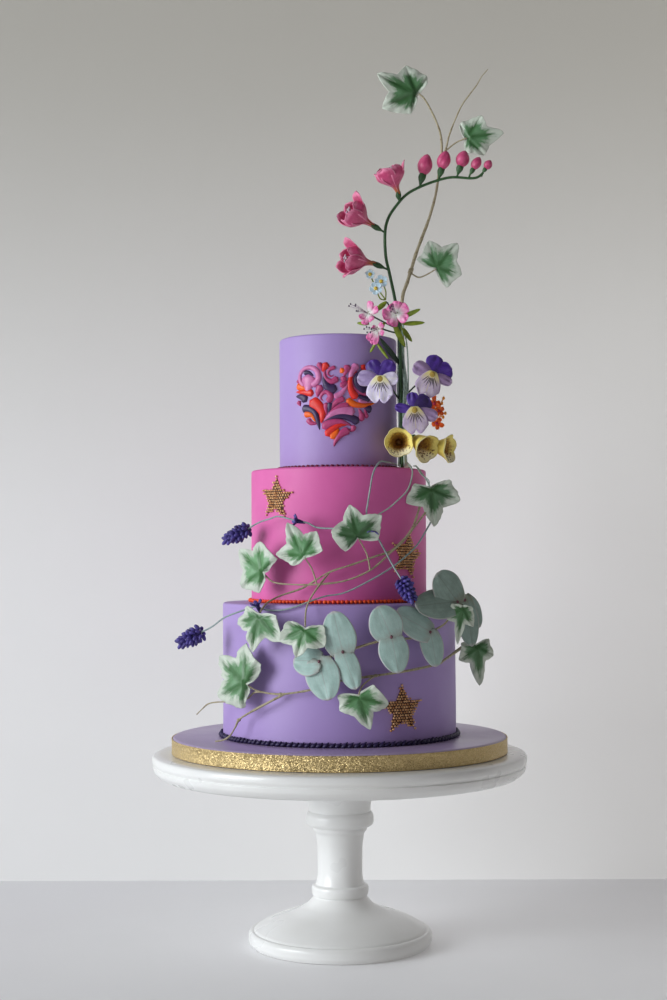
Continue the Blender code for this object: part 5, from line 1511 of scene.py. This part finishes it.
def make_flowers_and_leaves():
    twig = tape_finish("twig_tape", (0.42, 0.37, 0.24), (0.17, 0.12, 0.06), 0.7, 420.0)
    # The dark green tape's lighter second tone is painted highlight streaks.
    dark_green_highlit = tape_finish("dark_green_tape_painted_highlight", (0.030, 0.060, 0.038), (0.055, 0.10, 0.065), 0.5, 380.0,
                             0.4)
    pale_green = tape_finish("pale_green_tape", (0.62, 0.80, 0.70), (0.20, 0.36, 0.27), 0.38, 300.0)
    mint_wire = tape_finish("mint_wire_tape", (0.36, 0.47, 0.41), (0.17, 0.25, 0.20), 0.6, 420.0)
    teal_wire = tape_finish("teal_wire_tape", (0.30, 0.38, 0.38), (0.12, 0.18, 0.18), 0.55, 420.0)
    calyx_green = tape_finish("calyx_green", (0.025, 0.085, 0.025), (0.06, 0.15, 0.05), 0.5, 300.0, 0.4)
    blade_green = sugar_finish("blade_leaf_green", (0.27, 0.36, 0.03), (0.12, 0.19, 0.014), 0.42, 200, 0.8,
                               900, 0.3)
    white_icing = sugar_finish("white_royal_icing", (0.80, 0.81, 0.78), (0.7, 0.72, 0.7), 0.4, 200, 0.4,
                               900, 0.2)
    make_ivy()
    make_eucalyptus(twig)
    make_twigs(twig)
    make_vine(twig)
    make_bundle(dark_green_highlit, pale_green, white_icing, blade_green)
    lavender = floret_finish("lavender_dust", (0.055, 0.04, 0.21), (0.022, 0.014, 0.10))
    make_lavender(teal_wire, lavender, mint_wire)
    freesia = petal_finish("freesia_petal", (0.42, 0.13, 0.008), (0.66, 0.10, 0.24), (0.46, 0.035, 0.13),
                           (0.80, 0.24, 0.40), 0.26, 0.88, 0.42)
    stamen = sugar_finish("stamen_paste", (0.70, 0.62, 0.60), (0.2, 0.1, 0.3), 0.5, 900, 0.8)
    make_freesia(calyx_green, freesia, stamen)
    yellow = sugar_finish("yellow_bead_paste", (0.72, 0.50, 0.05), (0.5, 0.36, 0.02), 0.5, 600, 0.6, 1800,
                          0.4)
    dark = sugar_finish("dark_anther_paste", (0.05, 0.02, 0.07), (0.02, 0.01, 0.03), 0.5, 600, 0.6)
    blue = petal_finish("forget_me_not_petal", (0.82, 0.86, 0.86), (0.58, 0.76, 0.86), (0.48, 0.68, 0.84),
                        (0.74, 0.84, 0.90), 0.35)
    pink = petal_finish("pink_blossom_petal", (0.80, 0.78, 0.76), (0.86, 0.40, 0.60), (0.74, 0.16, 0.40),
                        (0.80, 0.16, 0.42), 0.44, 0.84, 0.45, 10.0, 0.3)
    make_small_flowers(blue, pink, blade_green, yellow, dark, stamen)
    upper = petal_finish("viola_upper_petal", (0.05, 0.02, 0.16), (0.075, 0.025, 0.28),
                         (0.035, 0.012, 0.14), (0.12, 0.05, 0.36), 0.2)
    side = petal_finish("viola_side_petal", (0.12, 0.05, 0.20), (0.40, 0.31, 0.52), (0.25, 0.17, 0.38),
                        (0.50, 0.42, 0.60), 0.3, 0.93, 0.5, 9.0, 0.4)
    lip = petal_finish("viola_lip", (0.84, 0.78, 0.40), (0.80, 0.75, 0.88), (0.62, 0.54, 0.78),
                       (0.70, 0.60, 0.86), 0.27, 0.94, 0.5, 9.0, 0.26, (0.84, 0.78, 0.40))
    eye = sugar_finish("viola_eye", (0.46, 0.32, 0.06), (0.28, 0.17, 0.03), 0.55, 500, 0.8)
    whisker = sugar_finish("viola_whisker", (0.05, 0.035, 0.05), (0.03, 0.02, 0.03), 0.6, 500, 0.4)
    mauve = petal_finish("viola_mauve_petal", (0.16, 0.08, 0.22), (0.36, 0.25, 0.42), (0.22, 0.13, 0.28),
                         (0.46, 0.34, 0.50), 0.25, 0.93, 0.5, 9.0, 0.4)
    mauve_lip = petal_finish("viola_mauve_lip", (0.68, 0.58, 0.24), (0.58, 0.49, 0.60), (0.40, 0.29, 0.46),
                             (0.46, 0.34, 0.52), 0.28, 0.9, 0.5, 9.0, 0.3, (0.62, 0.52, 0.24))
    night = petal_finish("viola_night_petal", (0.03, 0.01, 0.08), (0.035, 0.012, 0.12), (0.02, 0.008, 0.06),
                         (0.05, 0.02, 0.16), 0.2)
    make_violas([upper, side, lip, eye, whisker, mauve, mauve_lip, night])
    orange = petal_finish("orange_floret_petal", (0.55, 0.03, 0.03), (0.94, 0.15, 0.012),
                          (0.82, 0.07, 0.008), (0.95, 0.26, 0.03), 0.25)
    amber = sugar_finish("amber_bud_paste", (0.90, 0.38, 0.05), (0.80, 0.22, 0.02), 0.5, 600, 0.6)
    magenta = sugar_finish("magenta_floret_heart", (0.42, 0.02, 0.09), (0.6, 0.04, 0.05), 0.5, 600, 0.6)
    make_orange_cluster(orange, calyx_green, amber, magenta)
    lemon = petal_finish("foxglove_bell", (0.72, 0.55, 0.07), (0.90, 0.75, 0.18), (0.80, 0.62, 0.11),
                         (0.88, 0.78, 0.32), 0.2)
    make_foxgloves(lemon, throat_finish(), calyx_green)


PIPING_TONES = {
    "pink": ((0.66, 0.20, 0.44), (0.54, 0.13, 0.34)), "berry": ((0.50, 0.06, 0.20), (0.38, 0.035, 0.14)),
    "red": ((0.80, 0.03, 0.018), (0.62, 0.015, 0.015)),
    "orange": ((0.95, 0.16, 0.006), (0.82, 0.09, 0.006)),
    "navy": ((0.05, 0.026, 0.10), (0.032, 0.018, 0.07)),
}


def make_piped_heart():
    make_heart({colour: sugar_finish(colour + "_piping", *tones, 0.42, 200, 0.6, 1500, 0.1)
                for colour, tones in PIPING_TONES.items()})


# Stage, light and camera

WALL_Y = 0.287
WALL_MIDDLE = 2.9
# Painted shade: the room's wall is painted darker high up, from the first of these heights to the second,
# in metres
WALL_SHADE_LOW = 0.25
WALL_SHADE_HIGH = 1.0


def make_stage():
    """A pale table and a pale wall, which shows its front side only and has painted shade that darkens it
    high up.
    """
    floor_finish = Finish("pale_table", 0.55)
    outs = floor_finish.use("sugar", Tone=(0.82, 0.82, 0.84), Second_Tone=(0.78, 0.78, 0.80),
                            Patch_Scale=3.0, Patch_Amount=0.5, Grain_Scale=300.0)
    floor_finish.colour(outs["Colour"])
    bpy.ops.mesh.primitive_plane_add(size=12, location=(0, 0, -0.0004))
    floor = bpy.context.object
    floor.name = "table"
    floor.data.materials.append(floor_finish.material)
    wall_finish = Finish("pale_wall", 0.8)
    tree = wall_finish.tree
    outs = wall_finish.use("sugar", Tone=(0.92, 0.92, 0.92), Second_Tone=(0.88, 0.88, 0.88),
                           Patch_Scale=2.0, Patch_Amount=0.5, Grain_Scale=160.0)
    place = tree.nodes.new("ShaderNodeSeparateXYZ")
    tree.links.new(wall_finish.vector, place.inputs[0])
    # Painted shade: the wall's colour goes from pale low down to a darker, warmer grey high up.
    rise = step_node(tree, place.outputs["Y"], WALL_SHADE_LOW - WALL_MIDDLE, WALL_SHADE_HIGH - WALL_MIDDLE)
    painted_wall_shade = mix_node(tree, rise, (0.80, 0.80, 0.80), (0.40, 0.385, 0.35))
    tint = tree.nodes.new("ShaderNodeMix")
    tint.data_type = "RGBA"
    tint.blend_type = "MULTIPLY"
    tint.inputs[0].default_value = 1.0
    tree.links.new(outs["Colour"], tint.inputs[6])
    tree.links.new(painted_wall_shade, tint.inputs[7])
    wall_finish.colour(tint.outputs[2])
    clear = tree.nodes.new("ShaderNodeBsdfTransparent")
    side = tree.nodes.new("ShaderNodeNewGeometry")
    choose = tree.nodes.new("ShaderNodeMixShader")
    tree.links.new(side.outputs["Backfacing"], choose.inputs[0])
    tree.links.new(wall_finish.shader.outputs[0], choose.inputs[1])
    tree.links.new(clear.outputs[0], choose.inputs[2])
    tree.links.new(choose.outputs[0], tree.nodes["Material Output"].inputs["Surface"])
    bpy.ops.mesh.primitive_plane_add(size=6, location=(0, WALL_Y, WALL_MIDDLE),
                                     rotation=(math.pi / 2, 0, 0))
    wall = bpy.context.object
    wall.name = "wall"
    wall.data.materials.append(wall_finish.material)
    room = bpy.data.collections.new("wall_and_table")
    room.objects.link(floor)
    room.objects.link(wall)
    return room


def area_light(name, place, target, size, energy, colour):
    light = bpy.data.lights.new(name, "AREA")
    light.shape = "RECTANGLE"
    light.size, light.size_y = size
    light.energy = energy
    light.color = colour
    made = bpy.data.objects.new(name, light)
    made.location = place
    made.rotation_euler = (Vector(target) - Vector(place)).to_track_quat("-Z", "Y").to_euler()
    bpy.context.scene.collection.objects.link(made)
    return made


WINDOW_WATTS = 155
ROOM_WATTS = 4
WASH_WATTS = 20
SKY_GLOW = 0.13    # how strongly the surroundings light the cake
SKY_SEEN = 0.87    # how much brighter they look where they are seen


def make_light(room):
    """A window at the left, a weak room light, and the room's light on the far wall and the table."""
    area_light("window", (-3.6, -1.9, 1.2), (0, 0, 0.4), (2.4, 2.4), WINDOW_WATTS, (0.93, 0.97, 1.0))
    area_light("room", (1.6, -2.4, 1.2), (0, 0, 0.3), (2.5, 2.0), ROOM_WATTS, (1.0, 0.86, 0.80))
    wash = area_light("wall_wash", (1.4, -1.5, 0.8), (0.3, WALL_Y, 0.45), (1.6, 1.2), WASH_WATTS,
                      (1.0, 0.98, 0.94))
    wash.light_linking.receiver_collection = room
    wash.light_linking.blocker_collection = room
    world = bpy.data.worlds.new("pale_room")
    bpy.context.scene.world = world
    world.use_nodes = True
    tree = world.node_tree
    back = tree.nodes["Background"]
    back.inputs["Color"].default_value = (0.62, 0.64, 0.66, 1)
    path = tree.nodes.new("ShaderNodeLightPath")
    seen = math_node(tree, "MULTIPLY", path.outputs["Is Camera Ray"], SKY_SEEN)
    tree.links.new(math_node(tree, "ADD", seen, SKY_GLOW), back.inputs["Strength"])


# The camera stands as the photograph's did: height, distance, and the small turns of the picture
CAMERA_PLACE = Vector((0, -1.4913, 0.3530))
CAMERA_LENS = 58.6
CAMERA_PITCH, CAMERA_ROLL, CAMERA_YAW = (math.radians(a) for a in (1.903, -0.235, -0.178))


def make_camera():
    cy, sy = math.cos(CAMERA_YAW), math.sin(CAMERA_YAW)
    level = Vector((sy, cy, 0))
    ahead = math.cos(CAMERA_PITCH) * level + math.sin(CAMERA_PITCH) * UP
    upright = -math.sin(CAMERA_PITCH) * level + math.cos(CAMERA_PITCH) * UP
    right = Vector((cy, -sy, 0))
    cr, sr = math.cos(CAMERA_ROLL), math.sin(CAMERA_ROLL)
    axes = Matrix((cr * right + sr * upright, cr * upright - sr * right, -ahead)).transposed()
    data = bpy.data.cameras.new("camera")
    data.lens = CAMERA_LENS
    data.sensor_width = 36
    made = bpy.data.objects.new("camera", data)
    made.matrix_world = Matrix.Translation(CAMERA_PLACE) @ axes.to_4x4()
    bpy.context.scene.collection.objects.link(made)
    bpy.context.scene.camera = made


def make_cake():
    paint = paint_finish()
    make_stand(paint)
    board_icing = sugar_finish("board_icing", (0.43, 0.33, 0.52), (0.38, 0.29, 0.48), 0.36, 14, 0.6, 700,
                               0.1)
    make_board(board_icing, glitter_finish())
    purple = sugar_finish("purple_sugar_paste", PURPLE, PURPLE_DEEP, 0.55, 16, 0.35, 1600, 0.06)
    lilac = sugar_finish("lilac_sugar_paste", PURPLE, PURPLE_DEEP, 0.55, 20, 0.3, 1600, 0.06)
    pink = sugar_finish("pink_sugar_paste", PINK, PINK_DEEP, 0.55, 18, 0.4, 1600, 0.06)
    make_tier("iced_tier_bottom", BOTTOM_RADIUS, BOARD_TOP, BOTTOM_TOP - 0.3, purple, "purple_icing",
              "tier_bottom")
    make_tier("iced_tier_middle", MIDDLE_RADIUS, BOTTOM_TOP, MIDDLE_TOP - 0.3, pink, "pink_icing",
              "tier_middle")
    make_tier("iced_tier_top", TOP_RADIUS, MIDDLE_TOP, TOP_TOP, lilac, "lilac_icing", "tier_top")
    navy = sugar_finish("navy_royal_icing", (0.022, 0.012, 0.07), (0.013, 0.008, 0.045), 0.5, 200, 0.5,
                        1500, 0.1)
    orange = sugar_finish("orange_royal_icing", (0.92, 0.11, 0.010), (0.82, 0.04, 0.012), 0.42, 200, 0.8,
                          1500, 0.1)
    berry = sugar_finish("raspberry_royal_icing", (0.22, 0.010, 0.06), (0.12, 0.008, 0.04), 0.4, 200, 0.6,
                         1500, 0.1)
    bead_ring("piped_beads_bottom", BOTTOM_RADIUS, BOARD_TOP, 5.3, (6.4, 4.4, 3.6), -0.5, navy,
              "navy_icing", "border_bottom", 11)
    bead_ring("piped_beads_middle", MIDDLE_RADIUS, BOTTOM_TOP, 3.9, (3.5, 3.4, 3.4), 0.0, orange,
              "orange_icing", "border_middle", 12)
    bead_ring("piped_beads_top", TOP_RADIUS, MIDDLE_TOP, 4.6, (3.0, 2.6, 3.0), 0.0, berry,
              "raspberry_icing", "border_top", 13)
    # Dark brown backing under the star beads: painted shade for the gaps between them.
    star_shade_backing = sugar_finish("brown_star_backing_painted_shade", (0.10, 0.035, 0.014), (0.06, 0.02, 0.01), 0.5, 300, 0.5)
    make_stars(bead_finish(), star_shade_backing)


bpy.context.scene.view_settings.view_transform = "Standard"
make_light(make_stage())
make_camera()
make_cake()
make_piped_heart()
make_flowers_and_leaves()

bpy.context.view_layer.update()
